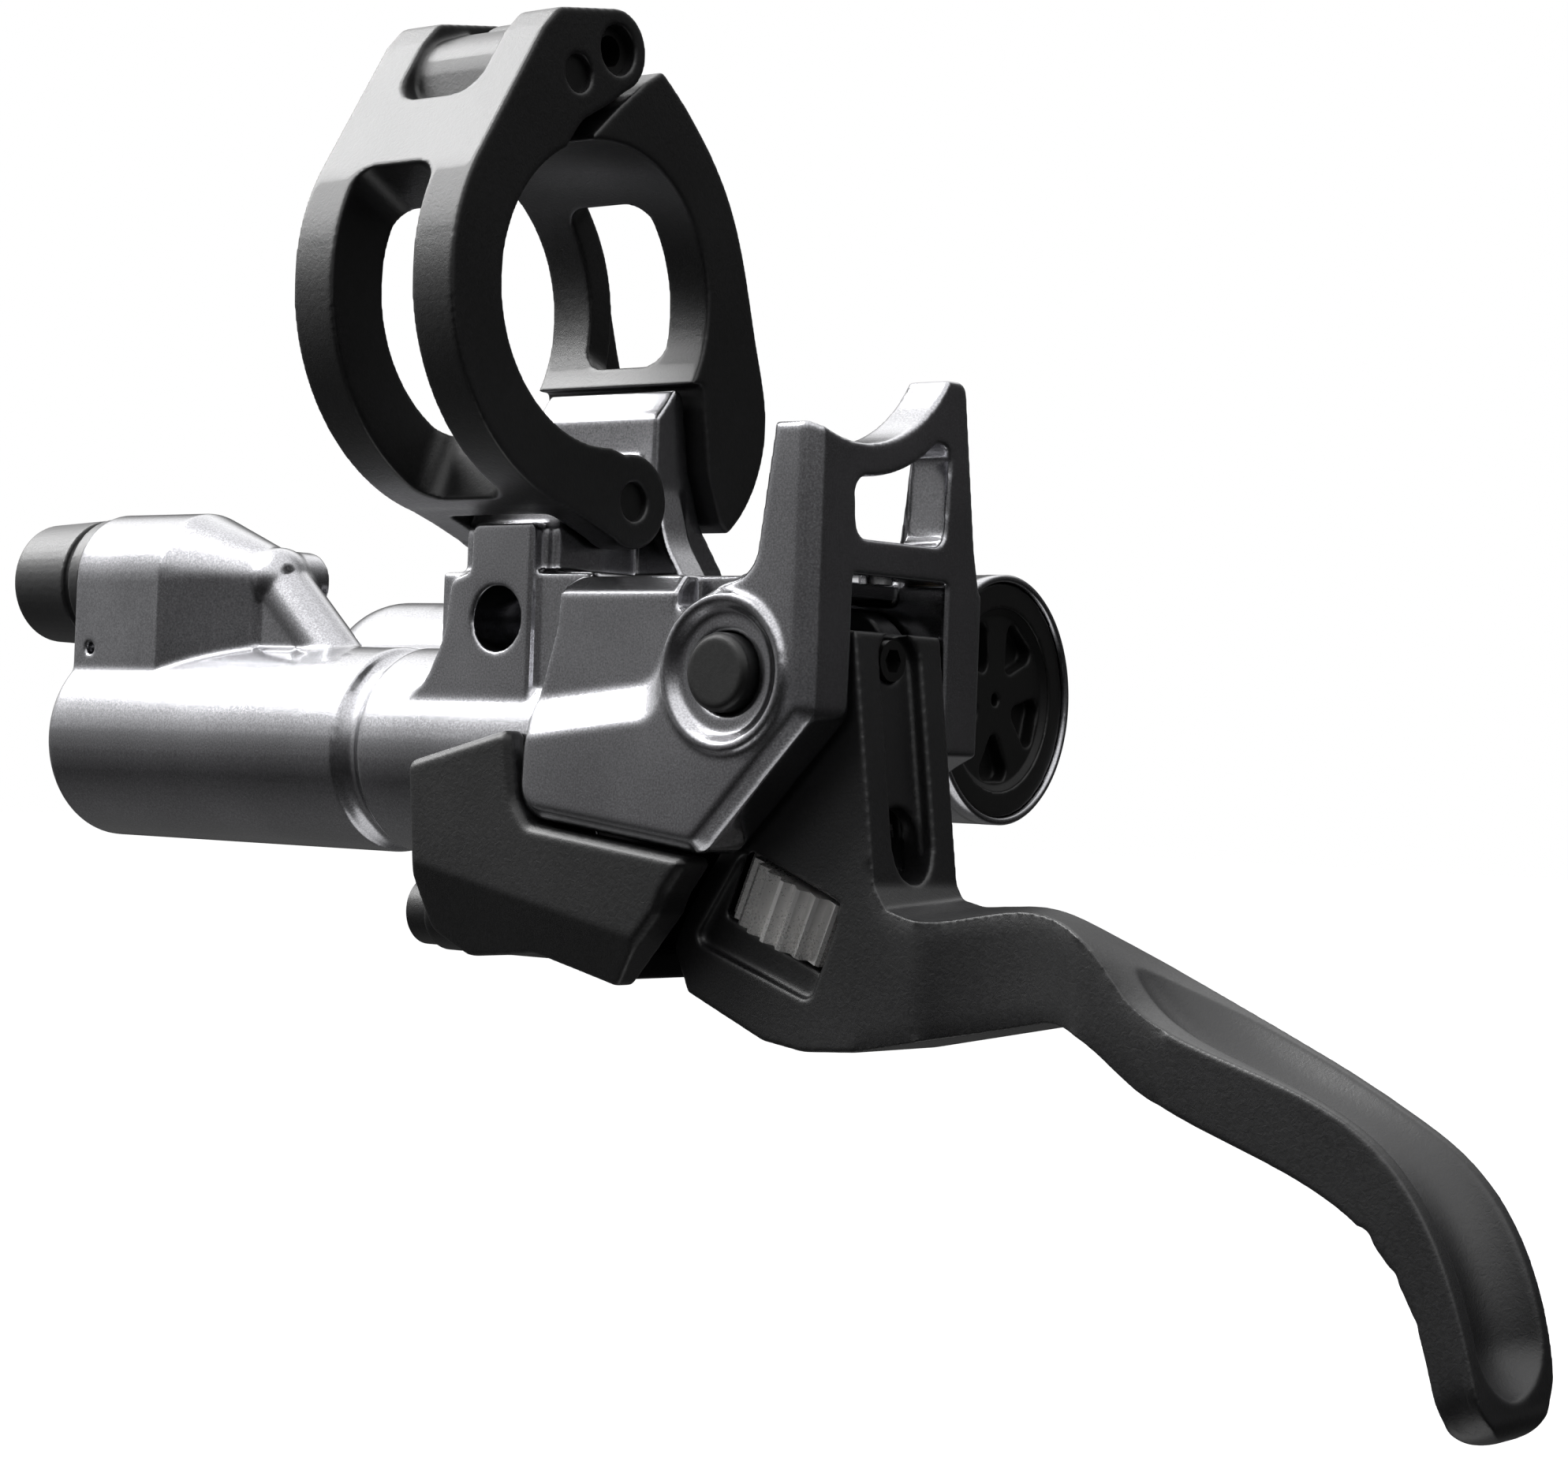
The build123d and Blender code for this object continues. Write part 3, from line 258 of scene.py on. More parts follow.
GUNMETAL_BODY = Finish(
    "gunmetal_body", (0.25, 0.25, 0.262), 1.0, 0.2, Grain.POLISHED, 0.14, 0.04, 0.04, 0.22,
    coat=0.4, coat_roughness=0.04,
)
BLACK_CLAMP = Finish(
    "black_grained_clamp", (0.009, 0.009, 0.0095), 0.0, 0.4, Grain.LEATHERY, 0.22, 0.5, 0.05, 0.15,
    specular=0.4,
)
BLACK_LEVER = Finish(
    "black_grained_lever", (0.008, 0.008, 0.0088), 0.0, 0.42, Grain.LEATHERY, 0.22, 0.5, 0.05, 0.15,
    specular=0.45,
)
COVER_PLASTIC = Finish(
    "cover_plastic", (0.009, 0.009, 0.0095), 0.0, 0.44, Grain.LEATHERY, 0.24, 0.5, 0.05, 0.15,
    specular=0.28,
)
CAP_PLASTIC = Finish(
    "cap_plastic", (0.006, 0.006, 0.006), 0.0, 0.5, Grain.MOULDED, 0.2, 0.3, 0.05, 0.15,
    specular=0.22,
)
SATIN_NUT = Finish(
    "satin_nut", (0.018, 0.018, 0.019), 0.0, 0.4, Grain.LEATHERY, 0.22, 0.3, 0.05, 0.15,
    specular=0.4,
)
SATIN_BLACK = Finish(
    "satin_black_steel", (0.006, 0.006, 0.006), 0.0, 0.42, Grain.MOULDED, 0.2, 0.2, 0.05, 0.2,
    specular=0.3,
)
BRIGHT_STEEL = Finish(
    "bright_steel", (0.5, 0.5, 0.51), 1.0, 0.24, Grain.TURNED, 0.3, 0.1, 0.06
)
BUSH_BRONZE = Finish(
    "bush_bronze", (0.46, 0.31, 0.13), 1.0, 0.32, Grain.TURNED, 0.3, 0.1, 0.06
)
GREY_WHEEL = Finish(
    "grey_wheel", (0.85, 0.84, 0.83), 0.5, 0.28, Grain.POLISHED, 0.2, 0.02, 0.03, 0.0
)
PISTON_METAL = Finish(
    "piston_metal", (0.6, 0.6, 0.61), 1.0, 0.25, Grain.TURNED, 0.4, 0.1, 0.05
)
SOFT_RUBBER = Finish(
    "soft_rubber", (0.015, 0.015, 0.015), 0.0, 0.6, Grain.MOULDED, 0.5, 0.2, 0.05
)

SLOT_FINISH: dict[str, Finish] = {
    "body": GUNMETAL_BODY,
    "clamp": BLACK_CLAMP,
    "lever": BLACK_LEVER,
    "cover": COVER_PLASTIC,
    "cap": CAP_PLASTIC,
    "nut": SATIN_NUT,
    "black_steel": SATIN_BLACK,
    "steel": BRIGHT_STEEL,
    "bronze": BUSH_BRONZE,
    "wheel": GREY_WHEEL,
    "piston": PISTON_METAL,
    "seal": SOFT_RUBBER,
}


class Wardrobe:
    """Keeps one material per finish, and knows which slot each node has."""

    def __init__(self) -> None:
        """Read the record's slots."""
        self.materials: dict[str, bpy.types.Material] = {}
        self.slot_of: dict[str, str] = {
            row["node"]: row["material_slot"] for row in frame["record"]["subparts"]
        }
        self.body_of: dict[str, str] = {
            node: body
            for body, nodes in frame["record"]["behaviour"]["bodies"].items()
            for node in nodes
        }

    def material(self, finish: Finish) -> bpy.types.Material:
        """Give a finish's material, made once.

        Args:
            finish: Finish that is wanted.

        Returns:
            Its material.
        """
        if finish.name not in self.materials:
            self.materials[finish.name] = finish.build()
        return self.materials[finish.name]

    def dress(self, piece: bpy.types.Object, finish: Finish) -> None:
        """Put one finish all over a piece.

        Args:
            piece: Piece to dress.
            finish: Finish that it gets.
        """
        piece.data.materials.clear()
        piece.data.materials.append(self.material(finish))

    def dress_nodes(self) -> None:
        """Give every node of the frame its slot's finish."""
        for name, node in frame["nodes"].items():
            self.dress(node, SLOT_FINISH[self.slot_of[name]])


def deselect_all() -> None:
    """Leave nothing selected."""
    if bpy.context.object and bpy.context.object.mode != "OBJECT":
        bpy.ops.object.mode_set(mode="OBJECT")
    bpy.ops.object.select_all(action="DESELECT")


def make_active(piece: bpy.types.Object) -> None:
    """Select one piece alone and make it active.

    Args:
        piece: Piece to select.
    """
    deselect_all()
    piece.select_set(True)
    bpy.context.view_layer.objects.active = piece


def apply_modifier(piece: bpy.types.Object, name: str) -> None:
    """Apply one modifier of a piece.

    Args:
        piece: Piece that has it.
        name: Modifier's name.
    """
    make_active(piece)
    bpy.ops.object.modifier_apply(modifier=name)


def prism(outline_mm: Sequence[Pair], y_low_mm: float, y_high_mm: float) -> bpy.types.Object:
    """Raise a prism along Y from an outline in X and Z.

    Args:
        outline_mm: Corners in X and Z.
        y_low_mm: Near end.
        y_high_mm: Far end.

    Returns:
        The closed prism.
    """
    deselect_all()
    bpy.ops.mesh.primitive_circle_add(vertices=len(outline_mm), radius=MM, fill_type="NGON")
    piece = bpy.context.object
    for vertex, (x, z) in zip(piece.data.vertices, outline_mm):
        vertex.co = (x * MM, y_low_mm * MM, z * MM)
    bpy.ops.object.mode_set(mode="EDIT")
    bpy.ops.mesh.select_all(action="SELECT")
    rise = (0.0, (y_high_mm - y_low_mm) * MM, 0.0)
    bpy.ops.mesh.extrude_region_move(TRANSFORM_OT_translate={"value": rise})
    bpy.ops.mesh.select_all(action="SELECT")
    bpy.ops.mesh.normals_make_consistent(inside=False)
    bpy.ops.object.mode_set(mode="OBJECT")
    return piece


@dataclass(frozen=True)
class Blend:
    """Stretch of a face whose creases run softly into each other.

    Args:
        low_mm: Lowest corner of the stretch.
        high_mm: Highest corner of the stretch.
        facing: Direction that the face looks in.
        least: Least share of that direction in a point's normal.
        passes: Smoothing passes.
    """

    low_mm: Point
    high_mm: Point
    facing: Point
    least: float = 0.75
    passes: int = 300

    def ease(self, piece: bpy.types.Object) -> None:
        """Smooth the points of the stretch, and leave the rest.

        Args:
            piece: Piece to work on.
        """
        facing = Vector(self.facing)
        group = piece.vertex_groups.new(name="blend")
        held = [v.index for v in piece.data.vertices if self._holds(v, facing)]
        group.add(held, 1.0, "REPLACE")
        smooth = piece.modifiers.new("ease", "SMOOTH")
        smooth.factor = SMOOTH_STEP
        smooth.iterations = self.passes
        smooth.vertex_group = group.name
        apply_modifier(piece, smooth.name)
        piece.vertex_groups.clear()

    def _holds(self, vertex: bpy.types.MeshVertex, facing: Vector) -> bool:
        """Say whether a point lies in the stretch.

        Args:
            vertex: Point to try.
            facing: Direction that the face looks in.

        Returns:
            True if it does.
        """
        spans = zip(self.low_mm, vertex.co, self.high_mm)
        inside = all(low * MM <= at <= high * MM for low, at, high in spans)
        return inside and vertex.normal.dot(facing) > self.least


@dataclass
class Shell:
    """A node of the frame with its edges rounded off.

    Args:
        node: Node of the frame.
        voxel_mm: Size of the new mesh's faces.
        passes: Smoothing passes, more for rounder edges.
        triangles: Most triangles that the piece keeps.
        blends: Faces whose creases are eased further.
    """

    node: str
    voxel_mm: float
    passes: int
    triangles: int
    blends: tuple[Blend, ...] = ()

    def build(
        self,
        wardrobe: Wardrobe,
        cutters: Sequence[bpy.types.Object] = (),
        fillers: Sequence[bpy.types.Object] = (),
    ) -> bpy.types.Object:
        """Copy the node, merge it, cut and fill it, remesh it, smooth it and thin it.

        Args:
            wardrobe: Source of its finish.
            cutters: Shapes to cut out of it, which are used up.
            fillers: Shapes to add to it, which are used up.

        Returns:
            The piece that stands for the node.
        """
        piece = self._copy()
        for cutter in cutters:
            self._combine(piece, cutter, "DIFFERENCE")
        for filler in fillers:
            self._combine(piece, filler, "UNION")
        self._soften(piece)
        for blend in self.blends:
            blend.ease(piece)
        self._thin(piece)
        make_active(piece)
        bpy.ops.object.shade_smooth()
        wardrobe.dress(piece, SLOT_FINISH[wardrobe.slot_of[self.node]])
        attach(piece, wardrobe.body_of[self.node])
        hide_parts(self.node)
        LOG.info("%s has %d faces", piece.name, len(piece.data.polygons))
        return piece

    def _copy(self) -> bpy.types.Object:
        """Copy the node's mesh and merge its loose triangles.

        Returns:
            The copy, on its own.
        """
        source = frame["nodes"][self.node]
        piece = source.copy()
        piece.data = source.data.copy()
        piece.name = self.node + "_shape"
        piece.data.name = piece.name
        piece.parent = None
        piece.matrix_world = Matrix.Identity(4)
        bpy.context.scene.collection.objects.link(piece)
        make_active(piece)
        bpy.ops.object.mode_set(mode="EDIT")
        bpy.ops.mesh.select_all(action="SELECT")
        bpy.ops.mesh.remove_doubles(threshold=MERGE_MM * MM)
        bpy.ops.object.mode_set(mode="OBJECT")
        return piece

    def _combine(
        self, piece: bpy.types.Object, shape: bpy.types.Object, operation: str
    ) -> None:
        """Cut a shape out of the piece or add it.

        Args:
            piece: Piece to change.
            shape: Shape to use, which is deleted.
            operation: DIFFERENCE or UNION.
        """
        change = piece.modifiers.new("change", "BOOLEAN")
        change.operation = operation
        change.object = shape
        apply_modifier(piece, change.name)
        bpy.data.objects.remove(shape)

    def _soften(self, piece: bpy.types.Object) -> None:
        """Remesh the piece evenly and round its edges.

        Args:
            piece: Piece to soften.
        """
        remesh = piece.modifiers.new("remesh", "REMESH")
        remesh.mode = "VOXEL"
        remesh.voxel_size = self.voxel_mm * MM
        apply_modifier(piece, remesh.name)
        smooth = piece.modifiers.new("smooth", "SMOOTH")
        smooth.factor = SMOOTH_STEP
        smooth.iterations = self.passes
        apply_modifier(piece, smooth.name)

    def _thin(self, piece: bpy.types.Object) -> None:
        """Thin the mesh to its budget, most where it is flat.

        Args:
            piece: Piece to thin.
        """
        count = 2 * len(piece.data.polygons)
        if count > self.triangles:
            thin = piece.modifiers.new("thin", "DECIMATE")
            thin.ratio = self.triangles / count
            apply_modifier(piece, thin.name)


@dataclass
class MasterBody:
    """Forged body with its cylinder, reservoir and bar rest.

    Args:
        shell: Body's own shape.
        cover: Cover under it.
        web_mm: Outline in X and Z of the web under the hose boss's strut.
        web_y_mm: Near and far side of that web.
    """

    shell: Shell = field(default_factory=lambda: Shell("lever_body", 0.16, 18, 196_000))
    cover: Shell = field(default_factory=lambda: Shell("lower_cover", 0.15, 16, 120_000))
    web_mm: tuple[Pair, ...] = ((-32.0, -20.6), (-20.6, -30.4), (-20.6, -31.4), (-32.0, -31.4))
    web_y_mm: Pair = (2.75, 7.05)

    def build(self, wardrobe: Wardrobe) -> None:
        """Build the body and the cover under it.

        Args:
            wardrobe: Source of the finishes.
        """
        self.shell.build(wardrobe, fillers=[prism(self.web_mm, *self.web_y_mm)])
        self.cover.build(wardrobe)


@dataclass
class BarClamp:
    """Two hinged halves round the bar.

    Args:
        front: Near half.
        back: Far half, which swings open.
    """

    front: Shell = field(default_factory=lambda: Shell("clamp_front", 0.15, 14, 150_000))
    back: Shell = field(default_factory=lambda: Shell("clamp_back", 0.15, 14, 150_000))

    def build(self, wardrobe: Wardrobe) -> None:
        """Build both halves.

        Args:
            wardrobe: Source of the finishes.
        """
        self.front.build(wardrobe)
        self.back.build(wardrobe)


# Front of the blade's neck, where it bends out of the arm.
NECK_BLEND = Blend((33.0, -1.0, -60.0), (58.0, 4.0, -40.0), (0.0, -1.0, 0.0))


@dataclass
class FingerLever:
    """Lever blade with three grip pits on its finger side and a rounded tip.

    Args:
        shell: Blade's own shape.
        pits_mm: Middles of the pits in X and Z.
        pit_radius_mm: Radius of a pit's section.
        pit_length_mm: Half its length across the blade.
        mid_y_mm: Middle of the blade in Y.
        tip_mm: Furthest point of the tip.
        tip_along: Direction that the blade ends in.
        tip_round_mm: Radius of the tip's corners, seen on the blade's flat.
    """

    shell: Shell = field(
        default_factory=lambda: Shell("lever_blade", 0.13, 29, 190_000, blends=(NECK_BLEND,))
    )
    pits_mm: tuple[Pair, ...] = ((72.14, -61.56), (74.02, -63.73), (75.46, -66.31))
    pit_radius_mm: float = 1.18
    pit_length_mm: float = 14.0
    mid_y_mm: float = 4.9
    tip_mm: Point = (79.95, 0.0, -73.0)
    tip_along: Point = (0.4, 0.0, -0.917)
    tip_round_mm: float = 3.6

    def build(self, wardrobe: Wardrobe) -> None:
        """Build the blade with its pits and its rounded tip.

        Args:
            wardrobe: Source of the finishes.
        """
        pits = [self._pit(x, z) for x, z in self.pits_mm]
        self._round_tip(self.shell.build(wardrobe, pits))

    def _round_tip(self, blade: bpy.types.Object) -> None:
        """Draw the tip's corners in to an arc.

        Args:
            blade: Blade to work on.
        """
        along, tip = Vector(self.tip_along), Vector(self.tip_mm) * MM
        radius = self.tip_round_mm * MM
        near = [v for v in blade.data.vertices if (tip - v.co).dot(along) < radius]
        low, high = min(v.co.y for v in near), max(v.co.y for v in near)
        middle, half = (low + high) / 2.0, (high - low) / 2.0
        for vertex in near:
            left = radius - max((tip - vertex.co).dot(along), 0.0)
            inset = radius - math.sqrt(radius**2 - left**2)
            vertex.co.y = middle + (vertex.co.y - middle) * (1.0 - inset / half)

    def _pit(self, x: float, z: float) -> bpy.types.Object:
        """Make the cutter of one pit.

        Args:
            x: Middle in X, in millimetres.
            z: Middle in Z, in millimetres.

        Returns:
            A long ellipsoid across the blade.
        """
        deselect_all()
        bpy.ops.mesh.primitive_uv_sphere_add(
            segments=32, ring_count=20, radius=self.pit_radius_mm * MM,
            location=(x * MM, self.mid_y_mm * MM, z * MM),
        )
        cutter = bpy.context.object
        bpy.ops.object.mode_set(mode="EDIT")
        bpy.ops.transform.resize(value=(1.0, self.pit_length_mm / self.pit_radius_mm, 1.0))
        bpy.ops.object.mode_set(mode="OBJECT")
        bpy.ops.object.transform_apply(location=True)
        return cutter


@dataclass
class ReservoirMouth:
    """Cap, ring and turned lip at the reservoir's mouth.

    Args:
        cap: Cap's own shape.
        ring: Ring that holds the cap.
        mouth_mm: Middle of the mouth.
        yaw: Turn of the reservoir's axis from X, in degrees.
        lip_radius_mm: Inner and outer radius of the lip.
        lip_deep_mm: How far the lip reaches inwards.
        lip_round_mm: Size of its rounded corners.
        lip_steps: Facets round the lip.
        lip_crease: Angle past which its edges stay sharp, in degrees.
        cap_depths_mm: Depths of the cap's face, dish, pockets and foot in the frame.
        drawn_depths_mm: Depths that they are drawn out to.
        dish_radii_mm: Middle, pocket ends and edge of the dish in the frame.
        drawn_radii_mm: Radii that they are spread to.
    """

    cap: Shell = field(default_factory=lambda: Shell("reservoir_cap", 0.11, 10, 120_000))
    ring: Shell = field(default_factory=lambda: Shell("cap_ring", 0.1, 8, 60_000))
    mouth_mm: Point = (27.5, 23.8, -28.3)
    yaw: float = 4.0
    lip_radius_mm: Pair = (8.76, 9.31)
    lip_deep_mm: float = 1.6
    lip_round_mm: float = 0.14
    lip_steps: int = 160
    lip_crease: float = 50.0
    cap_depths_mm: tuple[float, ...] = (1.05, 2.5, 3.9, 5.0)
    drawn_depths_mm: tuple[float, ...] = (0.5, 0.85, 2.3, 5.0)
    dish_radii_mm: tuple[float, ...] = (0.0, 2.0, 5.5, 6.85)
    drawn_radii_mm: tuple[float, ...] = (0.0, 2.0, 6.15, 6.85)

    def build(self, wardrobe: Wardrobe) -> None:
        """Build the three of them.

        Args:
            wardrobe: Source of the finishes.
        """
        self.ring.build(wardrobe)
        self._draw_out(self.cap.build(wardrobe))
        lip = self._lip()
        wardrobe.dress(lip, GUNMETAL_BODY)
        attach(lip, wardrobe.body_of["lever_body"])
        LOG.info("%s has %d faces", lip.name, len(lip.data.polygons))

    def _outward(self) -> Vector:
        """Give the direction out of the mouth.

        Returns:
            A unit vector.
        """
        yaw = math.radians(self.yaw)
        return Vector((math.cos(yaw), math.sin(yaw), 0.0))

    def _draw_out(self, cap: bpy.types.Object) -> None:
        """Draw the cap's dished face out to just under the ring.

        Args:
            cap: Cap to work on.
        """
        outward = self._outward()
        mouth = Vector(self.mouth_mm) * MM
        foot_mm, edge_mm = self.cap_depths_mm[-1], self.dish_radii_mm[-1]
        for vertex in cap.data.vertices:
            depth_mm = (mouth - vertex.co).dot(outward) / MM
            if depth_mm >= foot_mm:
                continue
            spoke = vertex.co - mouth + outward * depth_mm * MM
            reach_mm = max(spoke.length / MM, 1.0)
            if reach_mm < edge_mm:
                wide_mm = float(np.interp(reach_mm, self.dish_radii_mm, self.drawn_radii_mm))
                spoke *= wide_mm / reach_mm
            drawn_mm = float(np.interp(depth_mm, self.cap_depths_mm, self.drawn_depths_mm))
            vertex.co = mouth + spoke - outward * drawn_mm * MM

    def _lip(self) -> bpy.types.Object:
        """Turn the lip from a section with rounded corners.

        Returns:
            The closed ring.
        """
        inner, outer = self.lip_radius_mm
        deep, soft = self.lip_deep_mm, self.lip_round_mm
        section = (
            (inner, soft), (inner + soft, 0.0),
            (outer - soft, 0.0), (outer, soft),
            (outer, deep - soft), (outer - soft, deep),
            (inner + soft, deep), (inner, deep - soft),
        )
        deselect_all()
        bpy.ops.mesh.primitive_circle_add(
            vertices=len(section), radius=MM, fill_type="NOTHING"
        )
        lip = bpy.context.object
        lip.name = "reservoir_lip"
        outward = self._outward()
        mouth = Vector(self.mouth_mm)
        for vertex, (radius, depth) in zip(lip.data.vertices, section):
            vertex.co = (mouth + Vector((0.0, 0.0, radius)) - outward * depth) * MM
        bpy.ops.object.mode_set(mode="EDIT")
        bpy.ops.mesh.select_all(action="SELECT")
        bpy.ops.mesh.spin(
            steps=self.lip_steps, angle=math.tau, center=mouth * MM, axis=outward
        )
        bpy.ops.mesh.select_all(action="SELECT")
        bpy.ops.mesh.remove_doubles(threshold=MERGE_MM * MM)
        bpy.ops.mesh.normals_make_consistent(inside=False)
        bpy.ops.object.mode_set(mode="OBJECT")
        bpy.ops.object.shade_smooth_by_angle(angle=math.radians(self.lip_crease))
        return lip


@dataclass
class Fittings:
    """Small turned and moulded parts on the body.

    Args:
        shells: Shape of each.
    """

    shells: tuple[Shell, ...] = (
        Shell("hose_nut", 0.14, 6, 60_000),
        Shell("hose_collar", 0.14, 4, 60_000),
        Shell("pivot_pin", 0.14, 6, 40_000),
    )

    def build(self, wardrobe: Wardrobe) -> None:
        """Build each of them.

        Args:
            wardrobe: Source of the finishes.
        """
        for shell in self.shells:
            shell.build(wardrobe)


class LampTask(Enum):
    """What a soft box lights."""

    LIGHT = "light"
    GLOSS = "gloss"


@dataclass(frozen=True)
class SoftBox:
    """One soft box that faces the object.

    Args:
        name: Lamp's name.
        place_mm: Its middle.
        size_mm: Its width and height.
        radiance: Brightness of its face, where 1 is white.
        task: What it lights.
    """

    name: str
    place_mm: Point
    size_mm: Pair
    radiance: float
    task: LampTask


KEY_PLACE_MM = (-335.0, -183.0, 377.0)
SOFT_BOXES = (
    SoftBox("key_left", KEY_PLACE_MM, (360.0, 300.0), 7.0, LampTask.LIGHT),
    SoftBox("key_card", KEY_PLACE_MM, (380.0, 320.0), 36.0, LampTask.GLOSS),
    SoftBox("front_fill", (-60.0, -620.0, 60.0), (420.0, 300.0), 0.35, LampTask.LIGHT),
)


@dataclass(frozen=True)
class SkyStop:
    """Brightness of the studio, as reflections see it, at one height.

    Args:
        rise: Sine of the height's elevation.
        left: Brightness in front on the left.
        front_right: Brightness in front on the right.
        back: Brightness behind on the left.
        right: Brightness behind on the right.
    """

    rise: float
    left: float
    front_right: float
    back: float
    right: float


SKY = (
    SkyStop(-0.96, 1.9, 1.7, 0.6, 0.4),
    SkyStop(-0.88, 0.3, 0.2, 0.18, 0.06),
    SkyStop(-0.7, 0.18, 0.08, 0.16, 0.02),
    SkyStop(-0.41, 0.08, 0.03, 0.12, 0.02),
    SkyStop(-0.2, 0.18, 0.06, 0.07, 0.03),
    SkyStop(0.0, 0.36, 0.13, 0.06, 0.06),
    SkyStop(0.06, 0.42, 0.15, 0.07, 0.06),
    SkyStop(0.15, 0.72, 0.27, 0.1, 0.08),
    SkyStop(0.27, 1.25, 0.7, 0.15, 0.1),
    SkyStop(0.4, 1.8, 1.5, 0.4, 0.2),
    SkyStop(0.53, 2.5, 2.4, 1.3, 0.4),
    SkyStop(0.66, 2.5, 2.5, 2.5, 0.6),
)
SKY_PEAK = 2.5
# Parts of a ray along X or Y between which one side of the studio fades into another.
FRONT_FADE = (-0.75, -0.5)
BEHIND_FADE = (-0.3, 0.5)
DEPTH_FADE = (0.0, 0.65)
# Light from the studio on matt surfaces.
EVEN_LIGHT = 0.06

SENSOR_MM = 36.0
NEAR_CLIP_M = 0.005
FAR_CLIP_M = 20.0

FLOOR_SIZE_M = 6.0
FLOOR_GREY = 0.9
FLOOR_ROUGHNESS = 0.9
# Distances between which the floor brightens to white, and its glow at each.
FLOOR_FADE_M = (0.16, 0.34)
FLOOR_GLOW = (0.55, 1.0)


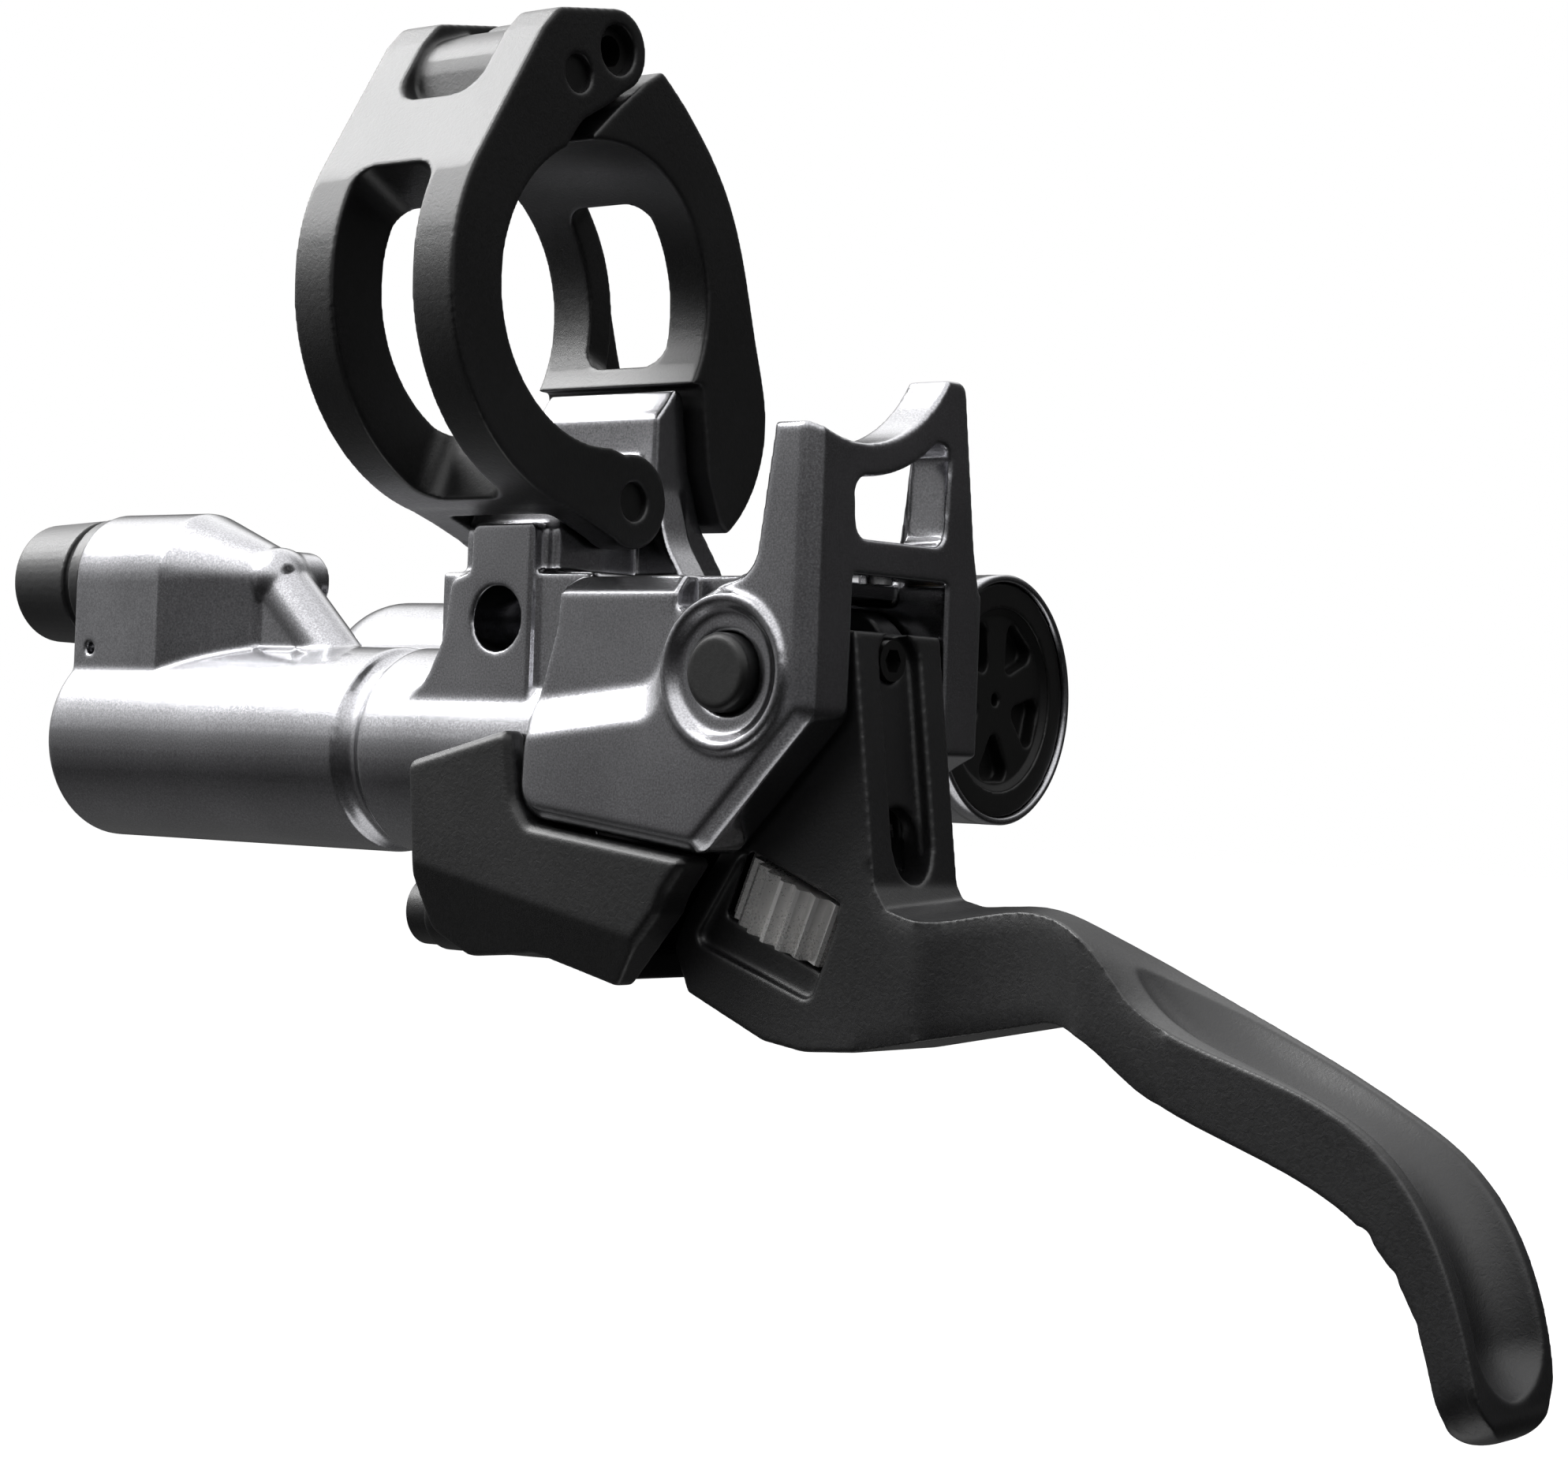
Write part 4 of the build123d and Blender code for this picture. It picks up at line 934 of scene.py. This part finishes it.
@dataclass
class Studio:
    """Camera, floor, light and backdrop.

    Args:
        lens_mm: Focal length on a 36 mm wide sensor.
        eye_mm: Camera's place.
        azimuth: Viewing direction about Z, in degrees.
        elevation: Height of the view, in degrees.
        roll: Turn of the picture, in degrees.
        floor_mm: Height of the floor.
        aim_mm: Point that the soft boxes face.
    """

    lens_mm: float = 80.366
    eye_mm: Point = (179.43, -187.73, -33.3)
    azimuth: float = 39.287
    elevation: float = -0.499
    roll: float = 2.082
    floor_mm: float = -125.0
    aim_mm: Point = (15.0, 5.0, -30.0)

    def set_camera(self) -> None:
        """Add the camera at the photograph's viewing angle."""
        data = bpy.data.cameras.new("camera")
        data.sensor_fit = "HORIZONTAL"
        data.sensor_width = SENSOR_MM
        data.lens = self.lens_mm
        data.clip_start = NEAR_CLIP_M
        data.clip_end = FAR_CLIP_M
        camera = bpy.data.objects.new("camera", data)
        bpy.context.scene.collection.objects.link(camera)
        a, e, r = (math.radians(v) for v in (self.azimuth, self.elevation, self.roll))
        back = Vector((math.sin(a) * math.cos(e), -math.cos(a) * math.cos(e), math.sin(e)))
        right = Vector((math.cos(a), math.sin(a), 0.0))
        up = back.cross(right)
        across = right * math.cos(r) + up * math.sin(r)
        upright = up * math.cos(r) - right * math.sin(r)
        turn = Matrix((across, upright, back)).transposed().to_4x4()
        camera.matrix_world = Matrix.Translation(Vector(self.eye_mm) * MM) @ turn
        bpy.context.scene.camera = camera

    def add_lamp(self, box: SoftBox) -> None:
        """Add one soft box.

        Args:
            box: Soft box to add.
        """
        data = bpy.data.lights.new(box.name, "AREA")
        data.shape = "RECTANGLE"
        data.size = box.size_mm[0] * MM
        data.size_y = box.size_mm[1] * MM
        data.energy = box.radiance * math.pi * data.size * data.size_y
        lamp = bpy.data.objects.new(box.name, data)
        bpy.context.scene.collection.objects.link(lamp)
        place = Vector(box.place_mm) * MM
        turn = (place - Vector(self.aim_mm) * MM).to_track_quat("Z", "Y")
        lamp.matrix_world = Matrix.Translation(place) @ turn.to_matrix().to_4x4()
        lamp.visible_diffuse = box.task is LampTask.LIGHT
        lamp.visible_glossy = box.task is LampTask.GLOSS

    def set_world(self) -> None:
        """White to the camera, a graded studio in reflections, and a low even light elsewhere."""
        world = bpy.data.worlds.new("studio")
        bpy.context.scene.world = world
        world.use_nodes = True
        world.cycles.sampling_method = "NONE"
        tree = world.node_tree
        tree.nodes.clear()
        white = tree.nodes.new("ShaderNodeBackground")
        white.inputs["Color"].default_value = (1.0, 1.0, 1.0, 1.0)
        even = tree.nodes.new("ShaderNodeBackground")
        even.inputs["Color"].default_value = (1.0, 1.0, 1.0, 1.0)
        even.inputs["Strength"].default_value = EVEN_LIGHT
        graded = tree.nodes.new("ShaderNodeBackground")
        graded.inputs["Strength"].default_value = SKY_PEAK
        tree.links.new(self._sky(tree), graded.inputs["Color"])
        path = tree.nodes.new("ShaderNodeLightPath")
        glossy = tree.nodes.new("ShaderNodeMixShader")
        tree.links.new(path.outputs["Is Glossy Ray"], glossy.inputs["Fac"])
        tree.links.new(even.outputs[0], glossy.inputs[1])
        tree.links.new(graded.outputs[0], glossy.inputs[2])
        both = tree.nodes.new("ShaderNodeMixShader")
        tree.links.new(path.outputs["Is Camera Ray"], both.inputs["Fac"])
        tree.links.new(glossy.outputs[0], both.inputs[1])
        tree.links.new(white.outputs[0], both.inputs[2])
        out = tree.nodes.new("ShaderNodeOutputWorld")
        tree.links.new(both.outputs[0], out.inputs["Surface"])

    def _sky(self, tree: bpy.types.NodeTree) -> bpy.types.NodeSocket:
        """Grade the studio by height, and from its lit side to its dark one.

        Args:
            tree: Node tree to add to.

        Returns:
            Brightness as a share of the peak.
        """
        ray = tree.nodes.new("ShaderNodeTexCoord").outputs["Generated"]
        axes = tree.nodes.new("ShaderNodeSeparateXYZ")
        tree.links.new(ray, axes.inputs["Vector"])
        height = tree.nodes.new("ShaderNodeMapRange")
        height.inputs["From Min"].default_value = -1.0
        tree.links.new(axes.outputs["Z"], height.inputs["Value"])
        level = height.outputs["Result"]
        left = self._ramp(tree, level, [(stop.rise, stop.left) for stop in SKY])
        back = self._ramp(tree, level, [(stop.rise, stop.back) for stop in SKY])
        right = self._ramp(tree, level, [(stop.rise, stop.right) for stop in SKY])
        front_right = self._ramp(tree, level, [(stop.rise, stop.front_right) for stop in SKY])
        front = self._fade(tree, axes.outputs["X"], FRONT_FADE, left, front_right)
        behind = self._fade(tree, axes.outputs["X"], BEHIND_FADE, back, right)
        return self._fade(tree, axes.outputs["Y"], DEPTH_FADE, front, behind)

    def _ramp(
        self, tree: bpy.types.NodeTree, height: bpy.types.NodeSocket, values: Sequence[Pair]
    ) -> bpy.types.NodeSocket:
        """Grade one side of the studio by height.

        Args:
            tree: Node tree to add to.
            height: Height from 0, straight down, to 1, straight up.
            values: Sine of the elevation and brightness of each stop.

        Returns:
            Brightness as a share of the peak.
        """
        ramp = tree.nodes.new("ShaderNodeValToRGB")
        stops = ramp.color_ramp.elements
        while len(stops) < len(values):
            stops.new(0.5)
        for stop, (rise, value) in zip(stops, values):
            stop.position = (rise + 1.0) / 2.0
            stop.color = (*[value / SKY_PEAK] * 3, 1.0)
        tree.links.new(height, ramp.inputs["Fac"])
        return ramp.outputs["Color"]

    def _fade(
        self,
        tree: bpy.types.NodeTree,
        along: bpy.types.NodeSocket,
        span: Pair,
        near: bpy.types.NodeSocket,
        far: bpy.types.NodeSocket,
    ) -> bpy.types.NodeSocket:
        """Fade from one side of the studio to another.

        Args:
            tree: Node tree to add to.
            along: Part of the ray along one axis.
            span: Where the fade starts and ends.
            near: Brightness before it.
            far: Brightness after it.

        Returns:
            The faded brightness.
        """
        share = tree.nodes.new("ShaderNodeMapRange")
        share.interpolation_type = "SMOOTHSTEP"
        share.inputs["From Min"].default_value = span[0]
        share.inputs["From Max"].default_value = span[1]
        tree.links.new(along, share.inputs["Value"])
        mix = tree.nodes.new("ShaderNodeMix")
        mix.data_type = "RGBA"
        tree.links.new(share.outputs["Result"], mix.inputs["Factor"])
        tree.links.new(near, mix.inputs["A"])
        tree.links.new(far, mix.inputs["B"])
        return mix.outputs["Result"]

    def lay_floor(self) -> None:
        """Lay a pale floor that fades to white and keeps the shadow."""
        deselect_all()
        level = (0.0, 0.0, self.floor_mm * MM)
        bpy.ops.mesh.primitive_plane_add(size=FLOOR_SIZE_M, location=level)
        floor = bpy.context.object
        floor.name = "floor"
        bpy.ops.object.transform_apply(location=True)
        material = bpy.data.materials.new("pale_floor")
        material.use_nodes = True
        tree = material.node_tree
        shader = tree.nodes["Principled BSDF"]
        shader.inputs["Base Color"].default_value = (*[FLOOR_GREY] * 3, 1.0)
        shader.inputs["Roughness"].default_value = FLOOR_ROUGHNESS
        shader.inputs["Specular IOR Level"].default_value = 0.0
        place = tree.nodes.new("ShaderNodeTexCoord").outputs["Object"]
        far = tree.nodes.new("ShaderNodeVectorMath")
        far.operation = "LENGTH"
        tree.links.new(place, far.inputs[0])
        fade = tree.nodes.new("ShaderNodeMapRange")
        fade.inputs["From Min"].default_value = FLOOR_FADE_M[0]
        fade.inputs["From Max"].default_value = FLOOR_FADE_M[1]
        fade.inputs["To Min"].default_value = FLOOR_GLOW[0]
        fade.inputs["To Max"].default_value = FLOOR_GLOW[1]
        tree.links.new(far.outputs["Value"], fade.inputs["Value"])
        path = tree.nodes.new("ShaderNodeLightPath")
        shown = tree.nodes.new("ShaderNodeMath")
        shown.operation = "MULTIPLY"
        tree.links.new(path.outputs["Is Camera Ray"], shown.inputs[0])
        tree.links.new(fade.outputs["Result"], shown.inputs[1])
        glow = tree.nodes.new("ShaderNodeEmission")
        tree.links.new(shown.outputs[0], glow.inputs["Strength"])
        add = tree.nodes.new("ShaderNodeAddShader")
        tree.links.new(shader.outputs[0], add.inputs[0])
        tree.links.new(glow.outputs[0], add.inputs[1])
        tree.links.new(add.outputs[0], tree.nodes["Material Output"].inputs["Surface"])
        floor.data.materials.append(material)
        floor.visible_glossy = False
        floor.visible_diffuse = False

    def build(self) -> None:
        """Set up the whole studio."""
        bpy.context.scene.view_settings.view_transform = "Standard"
        self.set_camera()
        for box in SOFT_BOXES:
            self.add_lamp(box)
        self.set_world()
        self.lay_floor()


def main() -> None:
    """Build every piece."""
    logging.basicConfig(level=logging.INFO, format="%(name)s: %(message)s")
    Studio().build()
    wardrobe = Wardrobe()
    wardrobe.dress_nodes()
    for assembly in (MasterBody(), BarClamp(), FingerLever(), ReservoirMouth(), Fittings()):
        assembly.build(wardrobe)
    deselect_all()


if __name__ == "__main__":
    main()
